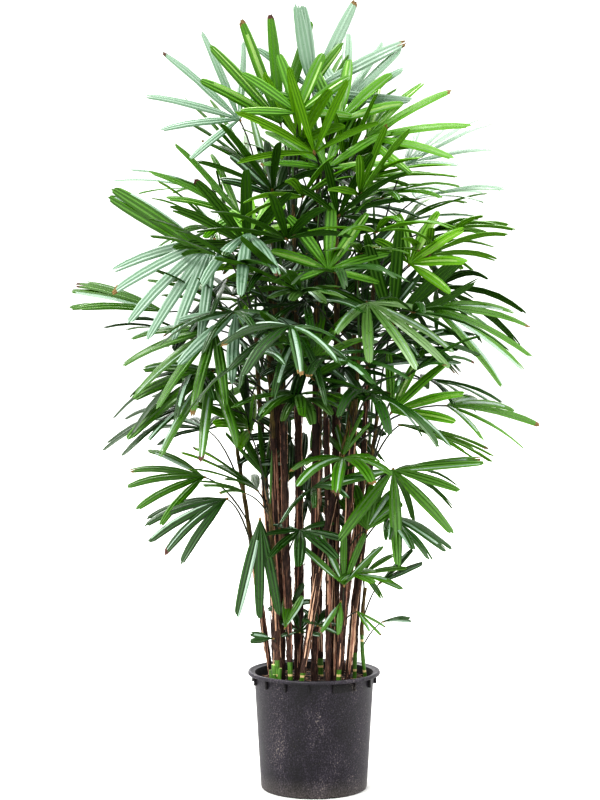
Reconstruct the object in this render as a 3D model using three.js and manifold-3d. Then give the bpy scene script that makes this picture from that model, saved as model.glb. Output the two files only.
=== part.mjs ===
// A lady palm, Rhapis excelsa, in a black nursery container: a clump of upright canes, each with a
// living head of fan fronds on thin petioles. Millimetres and degrees, +Z up, origin in the middle of
// the container's underside; the clump's broad side looks towards -Y.
import * as THREE from 'three';
import { mergeVertices } from 'three/addons/utils/BufferGeometryUtils.js';
import Module from 'manifold-3d';

const wasm = await Module();
wasm.setup();

// ---- Driving dimensions -------------------------------------------------------------------------

const GAP = 0.3;
const DEGREE = Math.PI / 180;
const UP = new THREE.Vector3(0, 0, 1);

// The container: a round tub with a rolled rim, a band and gussets under it, and a ring foot.
const POT = {
  height: 302, rimRadius: 171, rimDepth: 10, rimRound: 3, bodyRadius: 153, baseRadius: 137,
  baseRound: 5, wall: 3.2, floor: 4, bandDepth: 35, bandStep: 1.6, sides: 36,
};
const FOOT = { ring: 104, boss: 42, recess: 4, slots: 8, slotWidth: 26, slotHeight: 3.2, turn: -73.5 };
const DRAIN = { radius: 9, pitchRadius: 74, count: 8, sides: 6 };
const GUSSET = { count: 16, depth: 23, reach: 8.5, thickness: 4, corner: 3, turn: -95 };
const PANEL = { width: 59, height: 25, proud: 1.4, top: 293, turn: -61.25 };
const SOIL_TOP = 278;

// One row for each cane: where it stands on the soil, how far its head leans from there, the height of
// its head, its greatest radius, how many living fronds it carries, the heading of the lowest, and the
// size of its fronds beside the largest.
const CANES = [
  { foot: [-100, -24], lean: [-14, -20], height: 1290, girth: 10, fronds: 5, turn: 200, size: 1 },
  { foot: [-82, 8], lean: [-28, 20], height: 1440, girth: 10, fronds: 6, turn: 150, size: 1 },
  { foot: [-112, 26], lean: [-92, -10], height: 900, girth: 7, fronds: 5, turn: 190, size: 1 },
  { foot: [-80, -62], lean: [-36, -50], height: 1130, girth: 8.5, fronds: 4, turn: 225, size: 1 },
  { foot: [-60, -96], lean: [-22, -30], height: 1250, girth: 9, fronds: 4, turn: 262, size: 1 },
  { foot: [-44, -34], lean: [-10, -14], height: 1500, girth: 9, fronds: 6, turn: 170, size: 1 },
  { foot: [-34, -112], lean: [133, -6], height: 1000, girth: 8.5, fronds: 4, turn: 330, size: 1 },
  { foot: [0, -66], lean: [6, -30], height: 1380, girth: 10.5, fronds: 5, turn: 275, size: 1 },
  { foot: [-92, -98], lean: [-20, -24], height: 740, girth: 7.5, fronds: 3, turn: 250, size: 0.9 },
  { foot: [50, -62], lean: [6, -4], height: 1500, girth: 10.5, fronds: 6, turn: 20, size: 1 },
  { foot: [34, -84], lean: [-14, -22], height: 1120, girth: 8.5, fronds: 3, turn: 245, size: 1 },
  { foot: [60, -102], lean: [52, -52], height: 1150, girth: 8.5, fronds: 4, turn: 300, size: 1 },
  { foot: [84, -70], lean: [76, -8], height: 960, girth: 9, fronds: 4, turn: 350, size: 1 },
  { foot: [104, -26], lean: [56, 26], height: 1370, girth: 7, fronds: 5, turn: 10, size: 1 },
  { foot: [132, -40], lean: [-2, -14], height: 520, girth: 6, fronds: 3, turn: 330, size: 0.5 },
  { foot: [-36, 66], lean: [-26, 20], height: 1560, girth: 10, fronds: 5, turn: 100, size: 1 },
  { foot: [18, 34], lean: [-8, 4], height: 1580, girth: 10, fronds: 6, turn: 60, size: 1 },
  { foot: [72, 62], lean: [50, 62], height: 1400, girth: 9.5, fronds: 5, turn: 40, size: 1 },
  { foot: [-88, 82], lean: [-70, 70], height: 1200, girth: 9, fronds: 4, turn: 130, size: 1 },
  { foot: [10, 112], lean: [10, 110], height: 1080, girth: 9, fronds: 4, turn: 80, size: 1 },
  { foot: [64, 104], lean: [90, 60], height: 880, girth: 8, fronds: 3, turn: 40, size: 0.95 },
];
const CANE = { sides: 6, footRadius: 0.82, headRadius: 4.6, bow: 9, stations: 4 };

// The living head: fronds stand one above another at this spacing, each turned on from the last.
// Outward is how strongly the older ones turn out of the clump. A tier holds a few fronds together.
const HEAD = {
  spacing: 64, topRoom: 26, spiral: 137.5, outward: 0.9, leastReach: 0.45, perTier: 4, tierRoom: 9,
};

// A frond from the youngest, upright in the middle of the head, to the oldest, arched out and hanging.
// Cover is the share of its length that a blade reaches out beyond its hub.
const YOUNG = { reach: 62, rise: 225, pitch: 68, spread: 135, droop: 0.16, cover: 0.35 };
const OLD = { reach: 262, rise: 74, pitch: -20, spread: 232, droop: 0.8, cover: 0.95 };
const FROND = {
  length: 246, width: 34, meanWidth: 33.3, thickness: 2.8, hubRadius: 13, hubThickness: 4.4,
  petioleRadius: 2.1, petioleBow: 0.26, leaflets: 5, extraLeaflets: 1, sideLength: 0.7, sideWidth: 0.74,
  lift: 0.16,
};

// How far fronds differ from the rule: length, rise, reach, width and leaflet as shares of themselves,
// droop as a sag, and the rest in degrees but for lift, the part of a leaflet's way that goes upwards.
const VARY = {
  length: 0.24, rise: 0.4, reach: 0.3, width: 0.44, leaflet: 0.16, droop: 0.2,
  pitch: 26, roll: 56, spread: 24, swing: 7, twist: 50, lift: 0.16,
};

// A leaflet's outline: distance along it and share of its full width. Its end is cut off blunt. The
// shorter leaflets at a frond's sides have one bend.
const LEAFLET = [[0.28, 0.92], [0.7, 1], [1, 0.42]];
const SIDE_LEAFLET = [[0.5, 1], [1, 0.42]];
const SIDE_ANGLE = 50;

// The fronds that make the crown's outline and its face: the cane (from 1) and the rank on it from the
// lowest, the hub, the heading, pitch and roll of the blade, its spread, its leaflets and their droop.
const POSED = [
  { cane: 17, rank: 5, hub: [-4, -40, 1800], away: 0, pitch: 45, roll: 75,
    spread: 225, count: 6, length: 262, droop: 0.12 },
  { cane: 6, rank: 5, hub: [-87, -30, 1712], away: 180, pitch: 75, roll: -70,
    spread: 120, count: 6, length: 280, droop: 0.1 },
  { cane: 2, rank: 5, hub: [-192, -40, 1719], away: 180, pitch: 38, roll: -60,
    spread: 190, count: 7, length: 270, droop: 0.2, width: 28 },
  { cane: 1, rank: 4, hub: [-191, -20, 1475], away: 180, pitch: 35, roll: -35,
    spread: 180, count: 6, length: 285, droop: 0.25 },
  { cane: 4, rank: 3, hub: [-254, -100, 1404], away: 180, pitch: -48, roll: -65,
    spread: 95, count: 6, length: 280, droop: 0.3 },
  { cane: 5, rank: 3, hub: [-156, -160, 1406], away: 60, pitch: 60, roll: 0,
    spread: 170, count: 6, length: 130, droop: 0.3 },
  { cane: 8, rank: 4, hub: [29, -120, 1580], away: 90, pitch: 60, roll: 0,
    spread: 200, count: 6, length: 240, droop: 0.35 },
  { cane: 8, rank: 1, hub: [33, -200, 1320], away: 90, pitch: 70, roll: 0,
    spread: 250, count: 7, length: 195, droop: 0.2 },
  { cane: 14, rank: 1, hub: [237, -150, 1339], away: 0, pitch: 50, roll: 60,
    spread: 200, count: 6, length: 175, droop: 0.3 },
  { cane: 10, rank: 5, hub: [135, -60, 1669], away: 0, pitch: 15, roll: 50,
    spread: 170, count: 6, length: 262, droop: 0.25 },
  { cane: 14, rank: 4, hub: [238, 40, 1612], away: 0, pitch: 25, roll: 30,
    spread: 130, count: 6, length: 265, droop: 0.3 },
  { cane: 18, rank: 3, hub: [276, 120, 1536], away: 20, pitch: 10, roll: 10,
    spread: 150, count: 6, length: 250, droop: 0.4 },
  { cane: 12, rank: 3, hub: [131, -190, 1239], away: 320, pitch: -40, roll: 10,
    spread: 170, count: 6, length: 260, droop: 0.4 },
  { cane: 13, rank: 1, hub: [192, -170, 970], away: 0, pitch: 42, roll: 50,
    spread: 130, count: 5, length: 205, droop: 0.25 },
  { cane: 7, rank: 1, hub: [339, -60, 985], away: 0, pitch: -15, roll: 20,
    spread: 170, count: 5, length: 245, droop: 0.45 },
  { cane: 7, rank: 0, hub: [69, -230, 856], away: 262, pitch: -12, roll: 0,
    spread: 260, count: 7, length: 185, droop: 0.85 },
  { cane: 13, rank: 0, hub: [196, -150, 825], away: 268, pitch: -72, roll: 0,
    spread: 196, count: 5, length: 226, droop: 0.25 },
  { cane: 3, rank: 3, hub: [-158, -80, 926], away: 190, pitch: 30, roll: -30,
    spread: 180, count: 6, length: 190, droop: 0.3 },
  { cane: 3, rank: 1, hub: [-283, -40, 802], away: 190, pitch: -4, roll: -40,
    spread: 110, count: 5, length: 208, droop: 0.45, width: 27 },
  { cane: 3, rank: 0, hub: [-222, -120, 751], away: 192, pitch: -26, roll: -45,
    spread: 80, count: 5, length: 216, droop: 0.45, width: 27 },
  { cane: 9, rank: 0, hub: [-136, -150, 701], away: 268, pitch: -84, roll: 0,
    spread: 38, count: 3, length: 228, droop: 0.1, width: 28 },
  { cane: 2, rank: 0, hub: [-390, 40, 1230], away: 180, pitch: 9, roll: -25,
    spread: 66, count: 5, length: 265, droop: 0.25 },
  { cane: 1, rank: 1, hub: [-250, -120, 1176], away: 200, pitch: -42, roll: -45,
    spread: 130, count: 6, length: 255, droop: 0.45 },
  { cane: 4, rank: 0, hub: [-317, -60, 987], away: 190, pitch: -25, roll: -20,
    spread: 150, count: 6, length: 245, droop: 0.4 },
  { cane: 15, rank: 0, hub: [177, -40, 431], away: 0, pitch: 6, roll: 30,
    spread: 30, count: 2, length: 66, droop: 0.4, width: 15 },
  { cane: 15, rank: 1, hub: [169, -40, 531], away: 0, pitch: 34, roll: 50,
    spread: 34, count: 2, length: 112, droop: 0.1, width: 20 },
  { cane: 15, rank: 2, hub: [127, -60, 556], away: 0, pitch: 5, roll: 40,
    spread: 170, count: 5, length: 105, droop: 0.3, width: 20 },
];

// The crown's outline: half its width at each height, which no frond of the general rule leaves.
const CROWN = [
  [480, 210], [650, 350], [900, 500], [1100, 560], [1450, 550], [1700, 440], [1850, 380], [1960, 250],
  [2030, 90],
];

// Where a frond or a leaflet would meet another, it is tried again turned this way, then left out.
const CLEARANCE = 0.8;
const FROND_TRIES = [0, 14, -14, 28, -28, 42, -42, 63, -63, 90, -90, 130, -130, 180];
const LEAFLET_TRIES = [[0, 0], [0, 0.25], [0, -0.25], [9, 0], [-9, 0], [0, 0.5], [13, 0.2], [-13, 0.2]];

// ---- Solids --------------------------------------------------------------------------------------

/** A closed geometry as a manifold solid. */
function solidOf(geometry) {
  const bare = geometry.clone();
  bare.deleteAttribute('normal');
  bare.deleteAttribute('uv');
  const merged = mergeVertices(bare, 1e-4);
  const mesh = new wasm.Mesh({
    numProp: 3,
    vertProperties: new Float32Array(merged.attributes.position.array),
    triVerts: new Uint32Array(merged.index.array),
  });
  return new wasm.Manifold(mesh);
}

/** A manifold solid as a geometry with flat faces. */
function geometryOf(solid) {
  const mesh = solid.getMesh();
  const geometry = new THREE.BufferGeometry();
  geometry.setAttribute('position', new THREE.Float32BufferAttribute(mesh.vertProperties, mesh.numProp));
  geometry.setIndex(new THREE.BufferAttribute(mesh.triVerts, 1));
  return geometry;
}

/** A geometry of points and of triangles between them. */
function facetedGeometry(points, triangles) {
  const geometry = new THREE.BufferGeometry();
  geometry.setAttribute('position', new THREE.Float32BufferAttribute(points.flatMap((p) => p.toArray()), 3));
  geometry.setIndex(triangles.flat());
  return geometry;
}

/** The two triangles of a four-sided face, parted along the diagonal that bulges outwards. */
function outerSplit(points, [a, b, c, d]) {
  const [ab, ac, ad] = [b, c, d].map((corner) => points[corner].clone().sub(points[a]));
  return ab.cross(ac).dot(ad) < 0 ? [[a, b, c], [a, c, d]] : [[a, b, d], [b, c, d]];
}

/** A closed tube through rings of as many points each, listed anticlockwise as seen from the last ring. */
function loft(rings) {
  const points = rings.flat();
  const sides = rings[0].length;
  const triangles = [];
  for (let ring = 1; ring < rings.length; ring += 1) {
    for (let i = 0; i < sides; i += 1) {
      const [a, b] = [(ring - 1) * sides + i, (ring - 1) * sides + (i + 1) % sides];
      triangles.push(...outerSplit(points, [a, b, b + sides, a + sides]));
    }
  }
  const end = (rings.length - 1) * sides;
  for (let i = 1; i < sides - 1; i += 1) {
    triangles.push([0, i + 1, i], [end, end + i, end + i + 1]);
  }
  return facetedGeometry(points, triangles);
}

function turned(profile, sides) {
  const lathe = new THREE.LatheGeometry(profile.map(([r, z]) => new THREE.Vector2(r, z)), sides);
  return lathe.rotateX(90 * DEGREE);
}

function heading(degrees, radius, z = 0) {
  return new THREE.Vector3(radius * Math.cos(degrees * DEGREE), radius * Math.sin(degrees * DEGREE), z);
}

function mix(from, to, share) {
  return from + (to - from) * share;
}

/** The height of a polyline of [x, y] points at x. */
function along(line, x) {
  const next = Math.max(1, line.findIndex(([px], i) => px >= x || i === line.length - 1));
  const [[x0, y0], [x1, y1]] = [line[next - 1], line[next]];
  return mix(y0, y1, Math.min(1, Math.max(0, (x - x0) / (x1 - x0))));
}

/** A factor about 1 that a chance from 0 to 1 moves over the given range. */
function varied(range, chance) {
  return 1 + range * (chance - 0.5);
}

/** Repeatable draws between 0 and 1. */
function drawsFrom(seed) {
  let state = seed;
  return () => {
    state = (state * 48271) % 2147483647;
    return state / 2147483647;
  };
}

// ---- Container and soil --------------------------------------------------------------------------

function potProfile() {
  const { height, rimRadius, rimDepth, rimRound, bodyRadius, bandDepth, bandStep } = POT;
  const { baseRadius, baseRound, wall, floor } = POT;
  const bandBottom = height - bandDepth;
  const bandRadius = bodyRadius + bandStep;
  const lipBottom = height - rimDepth;
  return [
    [0, 0], [FOOT.boss, 0], [FOOT.boss, FOOT.recess], [FOOT.ring, FOOT.recess], [FOOT.ring, 0],
    [baseRadius - baseRound, 0], [baseRadius, baseRound],
    [bodyRadius, bandBottom], [bandRadius, bandBottom + bandStep], [bandRadius + 1, lipBottom],
    [rimRadius - 1, lipBottom], [rimRadius, lipBottom + rimRound], [rimRadius - rimRound, height],
    [bandRadius - wall, height],
    [baseRadius - baseRound - wall, FOOT.recess + floor], [0, FOOT.recess + floor],
  ];
}

/** Copies of a solid at even turns about the container's axis, as one. */
function around(solid, count, turn) {
  const ring = Array.from({ length: count }, (_, i) => solid.rotate([0, 0, turn + (360 * i) / count]));
  return wasm.Manifold.union(ring);
}

function gussetSolid() {
  const lipBottom = POT.height - POT.rimDepth;
  const [root, edge] = [POT.bodyRadius - 0.5, POT.bodyRadius + GUSSET.reach];
  const outline = new THREE.Shape([
    new THREE.Vector2(root, lipBottom + 1), new THREE.Vector2(root, lipBottom - GUSSET.depth),
    new THREE.Vector2(edge - GUSSET.corner, lipBottom - GUSSET.depth),
    new THREE.Vector2(edge, lipBottom - GUSSET.depth + GUSSET.corner),
    new THREE.Vector2(edge, lipBottom + 1),
  ]);
  const plate = new THREE.ExtrudeGeometry(outline, { depth: GUSSET.thickness, bevelEnabled: false });
  return solidOf(plate.translate(0, 0, -GUSSET.thickness / 2).rotateX(90 * DEGREE));
}

/** The bare raised panel between two gussets: a short arc of plate, bent round the container's axis. */
function panelSolid() {
  const radius = POT.bodyRadius + POT.bandStep + PANEL.proud;
  const halfTurn = PANEL.width / radius / 2;
  const arc = new THREE.Shape();
  arc.absarc(0, 0, radius, -halfTurn, halfTurn, false);
  arc.absarc(0, 0, radius - PANEL.proud - POT.wall / 2, halfTurn, -halfTurn, true);
  const plate = new THREE.ExtrudeGeometry(arc, {
    depth: PANEL.height, bevelEnabled: false, curveSegments: 4,
  });
  return solidOf(plate.rotateZ(PANEL.turn * DEGREE).translate(0, 0, PANEL.top - PANEL.height));
}

function potSolid() {
  const hole = new THREE.CylinderGeometry(DRAIN.radius, DRAIN.radius, POT.floor * 3, DRAIN.sides);
  hole.rotateX(90 * DEGREE).translate(DRAIN.pitchRadius, 0, FOOT.recess + POT.floor / 2);
  const slot = new THREE.BoxGeometry(POT.baseRadius, FOOT.slotWidth, FOOT.slotHeight * 2);
  slot.translate(FOOT.ring - 2 + POT.baseRadius / 2, 0, 0);
  return solidOf(turned(potProfile(), POT.sides))
    .add(around(gussetSolid(), GUSSET.count, GUSSET.turn))
    .add(panelSolid())
    .subtract(around(solidOf(hole), DRAIN.count, FOOT.turn))
    .subtract(around(solidOf(slot), FOOT.slots, FOOT.turn));
}

function soilSolid() {
  const bottom = FOOT.recess + POT.floor;
  const low = POT.baseRadius - POT.baseRound - POT.wall;
  const high = POT.bodyRadius + POT.bandStep - POT.wall;
  const radiusAt = (z) => mix(low, high, (z - bottom) / (POT.height - bottom)) - 2 * GAP;
  const profile = [[0, bottom + GAP], [radiusAt(bottom + GAP), bottom + GAP],
    [radiusAt(SOIL_TOP), SOIL_TOP], [0, SOIL_TOP]];
  return solidOf(turned(profile, POT.sides));
}

// ---- Canes ---------------------------------------------------------------------------------------

/** The middle of a cane at a height: a straight lean, with a slight bow that differs from cane to cane. */
function caneAxis(cane, z) {
  const share = (z - SOIL_TOP) / (cane.height - SOIL_TOP);
  const bow = CANE.bow * Math.sin(Math.PI * share) * Math.cos(cane.turn);
  return new THREE.Vector3(cane.foot[0] + cane.lean[0] * share + bow, cane.foot[1] + cane.lean[1] * share, z);
}

/** A cane's radius at a height: a bare foot, its fullest under the old sheaths, fine at the head. */
function caneRadius(cane, z) {
  const share = (z - SOIL_TOP) / (cane.height - SOIL_TOP);
  return along([[0, cane.girth * CANE.footRadius], [0.25, cane.girth], [0.6, cane.girth * 0.86],
    [1, CANE.headRadius]], share);
}

/** The length of cane between two heights, both cut level. */
function stemGeometry(cane, from, to, stations, margin = 0) {
  const rings = [];
  for (let i = 0; i <= stations; i += 1) {
    const z = mix(from, to, i / stations);
    const middle = caneAxis(cane, z);
    const radius = caneRadius(cane, z) + margin;
    const ring = Array.from({ length: CANE.sides }, (_, side) => (
      heading((360 * side) / CANE.sides, radius).add(middle)));
    rings.push(ring);
  }
  return loft(rings);
}

/** The height at which each frond of a cane leaves it, the oldest first. */
function frondHeights(cane) {
  return Array.from({ length: cane.fronds }, (_, i) => (
    cane.height - HEAD.topRoom - HEAD.spacing * (cane.fronds - 1 - i)));
}

/** The fronds of a cane shared out in tiers, each tier as the list of its fronds' ranks. */
function tiersOf(cane) {
  const count = Math.ceil(cane.fronds / HEAD.perTier);
  const tiers = Array.from({ length: count }, () => []);
  for (let rank = 0; rank < cane.fronds; rank += 1) {
    tiers[Math.floor((rank * count) / cane.fronds)].push(rank);
  }
  return tiers;
}

// ---- Fronds --------------------------------------------------------------------------------------

/** The pose of one of the fronds set out by hand; a further try stands it back and turns it a little. */
function posedFrond(row, turn) {
  const [x, y, z] = row.hub;
  return {
    ...row,
    from: caneAxis(CANES[row.cane - 1], frondHeights(CANES[row.cane - 1])[row.rank]),
    hub: new THREE.Vector3(x, y + turn, z),
    away: heading(row.away + turn / 3, 1),
    width: row.width || FROND.width,
    seed: (row.cane - 1) * 16 + row.rank + 1,
  };
}

/** The pose of a frond by the general rule, from its cane, its rank on it and one of the tries. */
function ruledFrond(caneIndex, rank, turn) {
  const cane = CANES[caneIndex];
  const draw = drawsFrom(7919 * (caneIndex * 16 + rank + 1));
  const chances = Array.from({ length: 12 }, draw);
  const age = 1 - rank / (cane.fronds - 1);
  const from = caneAxis(cane, frondHeights(cane)[rank]);
  const away = heading(cane.turn + HEAD.spiral * rank + turn, 1);
  away.x += (HEAD.outward * age * from.x) / POT.bodyRadius;
  away.y += (HEAD.outward * age * from.y) / POT.bodyRadius;
  away.z = 0;
  away.normalize();
  const length = FROND.length * cane.size * varied(VARY.length, chances[1]);
  const rise = mix(YOUNG.rise, OLD.rise, age) * cane.size * varied(VARY.rise, chances[2]);
  const wanted = mix(YOUNG.reach, OLD.reach, age ** 0.8) * cane.size * varied(VARY.reach, chances[3]);
  const room = along(CROWN, from.z + rise) - from.dot(away) - length * mix(YOUNG.cover, OLD.cover, age);
  const reach = Math.max(wanted * HEAD.leastReach, Math.min(wanted, room));
  const hub = from.clone().addScaledVector(away, reach).addScaledVector(UP, rise);
  return {
    from, hub, away, length,
    pitch: mix(YOUNG.pitch, OLD.pitch, age ** 0.7) + VARY.pitch * (chances[4] - 0.5),
    roll: VARY.roll * (chances[5] - 0.5),
    spread: mix(YOUNG.spread, OLD.spread, Math.sqrt(age)) + VARY.spread * (chances[6] - 0.5),
    droop: mix(YOUNG.droop, OLD.droop, age) + VARY.droop * (chances[7] - 0.5),
    width: FROND.meanWidth * cane.size ** 0.6 * varied(VARY.width, chances[8]),
    count: FROND.leaflets + Math.round(FROND.extraLeaflets * chances[9]),
    seed: caneIndex * 16 + rank + 1,
  };
}

function posedRow(caneIndex, rank) {
  return POSED.find((row) => row.cane === caneIndex + 1 && row.rank === rank);
}

function frondPose(caneIndex, rank, turn) {
  const row = posedRow(caneIndex, rank);
  return row ? posedFrond(row, turn) : ruledFrond(caneIndex, rank, turn);
}

/** The directions of a frond's blade: forward, across it, and out of its upper side. */
function frondFrame(pose) {
  const forward = pose.away.clone().multiplyScalar(Math.cos(pose.pitch * DEGREE));
  forward.z = Math.sin(pose.pitch * DEGREE);
  const across = new THREE.Vector3().crossVectors(UP, pose.away);
  across.applyAxisAngle(forward, pose.roll * DEGREE);
  const normal = new THREE.Vector3().crossVectors(forward, across);
  return { forward, across, normal };
}

/** One leaflet of a frond: its start, direction, length, width and droop, for one of the tries. */
function leafletOf(pose, frame, index, [swing, extraDroop]) {
  const draw = drawsFrom(104729 + pose.seed * 64 + index);
  const chances = Array.from({ length: 5 }, draw);
  const angle = pose.spread * ((index + 0.5) / pose.count - 0.5);
  const yaw = (angle + swing + VARY.swing * (chances[1] - 0.5)) * DEGREE;
  const middle = Math.cos(angle * DEGREE);
  const direction = frame.forward.clone().multiplyScalar(Math.cos(yaw));
  direction.addScaledVector(frame.across, Math.sin(yaw));
  const side = frame.across.clone().multiplyScalar(Math.cos(yaw));
  side.addScaledVector(frame.forward, -Math.sin(yaw));
  direction.addScaledVector(frame.normal, FROND.lift + VARY.lift * (chances[2] - 0.5)).normalize();
  return {
    start: pose.hub, direction, side, twist: VARY.twist * (chances[4] - 0.5),
    stations: Math.abs(angle) > SIDE_ANGLE ? SIDE_LEAFLET : LEAFLET,
    length: pose.length * mix(FROND.sideLength, 1, middle) * varied(VARY.leaflet, chances[3]),
    width: pose.width * mix(FROND.sideWidth, 1, middle),
    droop: pose.droop + extraDroop,
  };
}

/** A leaflet's middle, and the directions across and out of it, at a share of its length. */
function leafletAt(leaflet, share) {
  const run = leaflet.length / (1 + 0.22 * leaflet.droop);
  const middle = leaflet.start.clone().addScaledVector(leaflet.direction, FROND.hubRadius + run * share);
  middle.addScaledVector(UP, -leaflet.droop * run * (0.25 * share ** 2 + 0.25 * share ** 3));
  const slope = leaflet.droop * (0.5 * share + 0.75 * share ** 2);
  const tangent = leaflet.direction.clone().addScaledVector(UP, -slope).normalize();
  const across = leaflet.side.clone().addScaledVector(tangent, -leaflet.side.dot(tangent)).normalize();
  across.applyAxisAngle(tangent, leaflet.twist * share * DEGREE);
  const out = new THREE.Vector3().crossVectors(tangent, across);
  return { middle, across, out };
}

/** The two edges and the raised middle of a leaflet at a share of its length. */
function leafletSection(leaflet, share, widthShare, margin = 0) {
  const { middle, across, out } = leafletAt(leaflet, share);
  const half = (leaflet.width * widthShare) / 2 + margin;
  return [
    middle.clone().addScaledVector(across, -half).addScaledVector(out, -margin),
    middle.clone().addScaledVector(across, half).addScaledVector(out, -margin),
    middle.clone().addScaledVector(out, FROND.thickness + margin),
  ];
}

/** The point on a hub's edge between two leaflets, or at either end of the row. */
function rimPoint(pose, frame, i) {
  const angle = pose.spread * (i / pose.count - 0.5) * DEGREE;
  const point = pose.hub.clone().addScaledVector(frame.forward, FROND.hubRadius * Math.cos(angle));
  return point.addScaledVector(frame.across, FROND.hubRadius * Math.sin(angle));
}

/** The blade of a frond as one closed sheet of leaflets about a hub, without those in the gaps. */
function bladeGeometry(pose, frame, leaflets) {
  const points = [];
  const triangles = [];
  const put = (point) => points.push(point) - 1;
  const rim = Array.from({ length: pose.count + 1 }, (_, i) => put(rimPoint(pose, frame, i)));
  const top = put(pose.hub.clone().addScaledVector(frame.normal, FROND.hubThickness / 2));
  const bottom = put(pose.hub.clone().addScaledVector(frame.normal, -FROND.hubThickness / 2));
  leaflets.forEach((leaflet, i) => {
    let [left, right] = [rim[i], rim[i + 1]];
    triangles.push([bottom, right, left]);
    if (!leaflet) {
      triangles.push([top, left, right]);
      return;
    }
    const crown = points[left].clone().add(points[right]).multiplyScalar(0.5);
    let ridge = put(crown.addScaledVector(frame.normal, FROND.thickness));
    triangles.push([top, left, ridge], [top, ridge, right]);
    leaflet.stations.forEach(([share, widthShare], station) => {
      const [l, r, m] = leafletSection(leaflet, share, widthShare);
      const [nextLeft, nextRight] = [put(l), put(r)];
      triangles.push(...outerSplit(points, [left, right, nextRight, nextLeft]));
      if (station === leaflet.stations.length - 1) {
        triangles.push([ridge, left, nextLeft], [ridge, nextLeft, nextRight], [ridge, nextRight, right]);
        return;
      }
      const nextRidge = put(m);
      triangles.push(...outerSplit(points, [ridge, left, nextLeft, nextRidge]));
      triangles.push(...outerSplit(points, [right, ridge, nextRidge, nextRight]));
      [left, right, ridge] = [nextLeft, nextRight, nextRidge];
    });
  });
  triangles.push([top, bottom, rim[0]], [top, rim[pose.count], bottom]);
  return facetedGeometry(points, triangles);
}

/** A frond's petiole, three-sided, rising from inside the cane and arching over to the hub. */
function petioleGeometry(pose, radius) {
  const span = pose.hub.distanceTo(pose.from);
  const control = pose.from.clone().add(pose.hub).multiplyScalar(0.5);
  control.addScaledVector(UP, FROND.petioleBow * span);
  const curve = new THREE.QuadraticBezierCurve3(pose.from, control, pose.hub);
  const rings = [0, 0.5, 1].map((t) => {
    const middle = curve.getPoint(t);
    const tangent = curve.getTangent(t);
    const across = new THREE.Vector3().crossVectors(UP, tangent).normalize();
    return [90, 210, 330].map((angle) => {
      const spoke = across.clone().applyAxisAngle(tangent, angle * DEGREE);
      return middle.clone().addScaledVector(spoke, radius);
    });
  });
  return loft(rings);
}

// ---- Room between the fronds ---------------------------------------------------------------------

const placed = [];

function remember(solid, owner) {
  placed.push({ solid, owner, box: solid.boundingBox() });
}

function apart(a, b) {
  return [0, 1, 2].some((axis) => a.min[axis] > b.max[axis] || a.max[axis] < b.min[axis]);
}

/** Whether a solid meets one placed before it that has another owner. */
function meets(solid, owner) {
  const box = solid.boundingBox();
  return placed.some((other) => other.owner !== owner && !apart(box, other.box)
    && solid.intersect(other.solid).volume() > 0);
}

/** The room that a frond's hub takes, a little more than itself. */
function hubRoom(pose, frame) {
  const bare = Array(pose.count).fill(null);
  const [x, y, z] = pose.hub.toArray();
  const swell = 1 + (2 * CLEARANCE) / FROND.hubRadius;
  return solidOf(bladeGeometry(pose, frame, bare)).translate([-x, -y, -z]).scale(swell).translate([x, y, z]);
}

/** The room that a leaflet takes, a little more than its blade. */
function leafletRoom(pose, frame, leaflet, index) {
  const [left, right] = [rimPoint(pose, frame, index), rimPoint(pose, frame, index + 1)];
  const crown = left.clone().add(right).multiplyScalar(0.5);
  const root = [
    left.addScaledVector(leaflet.side, -CLEARANCE).addScaledVector(frame.normal, -CLEARANCE),
    right.addScaledVector(leaflet.side, CLEARANCE).addScaledVector(frame.normal, -CLEARANCE),
    crown.addScaledVector(frame.normal, FROND.thickness + CLEARANCE),
  ];
  const beyondTip = [1.01, LEAFLET.at(-1)[1]];
  const sections = [...leaflet.stations, beyondTip].map(([share, widthShare]) => (
    leafletSection(leaflet, share, widthShare, CLEARANCE)));
  return solidOf(loft([root, ...sections]));
}

/** A frond in the first of its tries that leaves out the fewest leaflets. */
function growFrond(caneIndex, rank, owner) {
  let best = null;
  for (const turn of FROND_TRIES) {
    const pose = frondPose(caneIndex, rank, turn);
    const frame = frondFrame(pose);
    const stalk = solidOf(petioleGeometry(pose, FROND.petioleRadius + CLEARANCE)).add(hubRoom(pose, frame));
    if (!meets(stalk, owner)) {
      const grown = Array.from({ length: pose.count }, (_, index) => {
        for (const attempt of LEAFLET_TRIES) {
          const leaflet = leafletOf(pose, frame, index, attempt);
          const room = leafletRoom(pose, frame, leaflet, index);
          if (!meets(room, owner)) {
            return { leaflet, room };
          }
        }
        return null;
      });
      const held = grown.filter(Boolean).length;
      if (!best || held > best.held) {
        best = { pose, frame, grown, stalk, held };
      }
      if (held === pose.count) {
        break;
      }
    }
  }
  return best;
}

/** A frond's solid: its petiole and its blade in one. */
function frondSolid({ pose, frame, grown }) {
  const leaflets = grown.map((item) => item && item.leaflet);
  const petiole = solidOf(petioleGeometry(pose, FROND.petioleRadius));
  return petiole.add(solidOf(bladeGeometry(pose, frame, leaflets)));
}

// ---- The plant -----------------------------------------------------------------------------------

const FINISH = {
  pot: { color: '#35343a', roughness: 0.5, metalness: 0 },
  soil: { color: '#2f2721', roughness: 0.95, metalness: 0 },
  cane: { color: '#4f3729', roughness: 0.85, metalness: 0 },
  frond: { color: '#3a7a2a', roughness: 0.4, metalness: 0 },
};
const TIER_NAMES = [['top'], ['low', 'top']];

const group = new THREE.Group();

function addMesh(name, geometry, finish) {
  const mesh = new THREE.Mesh(geometry, new THREE.MeshStandardMaterial(finish));
  mesh.name = name;
  group.add(mesh);
}

addMesh('pot', geometryOf(potSolid()), FINISH.pot);
addMesh('soil', geometryOf(soilSolid()), FINISH.soil);

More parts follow.
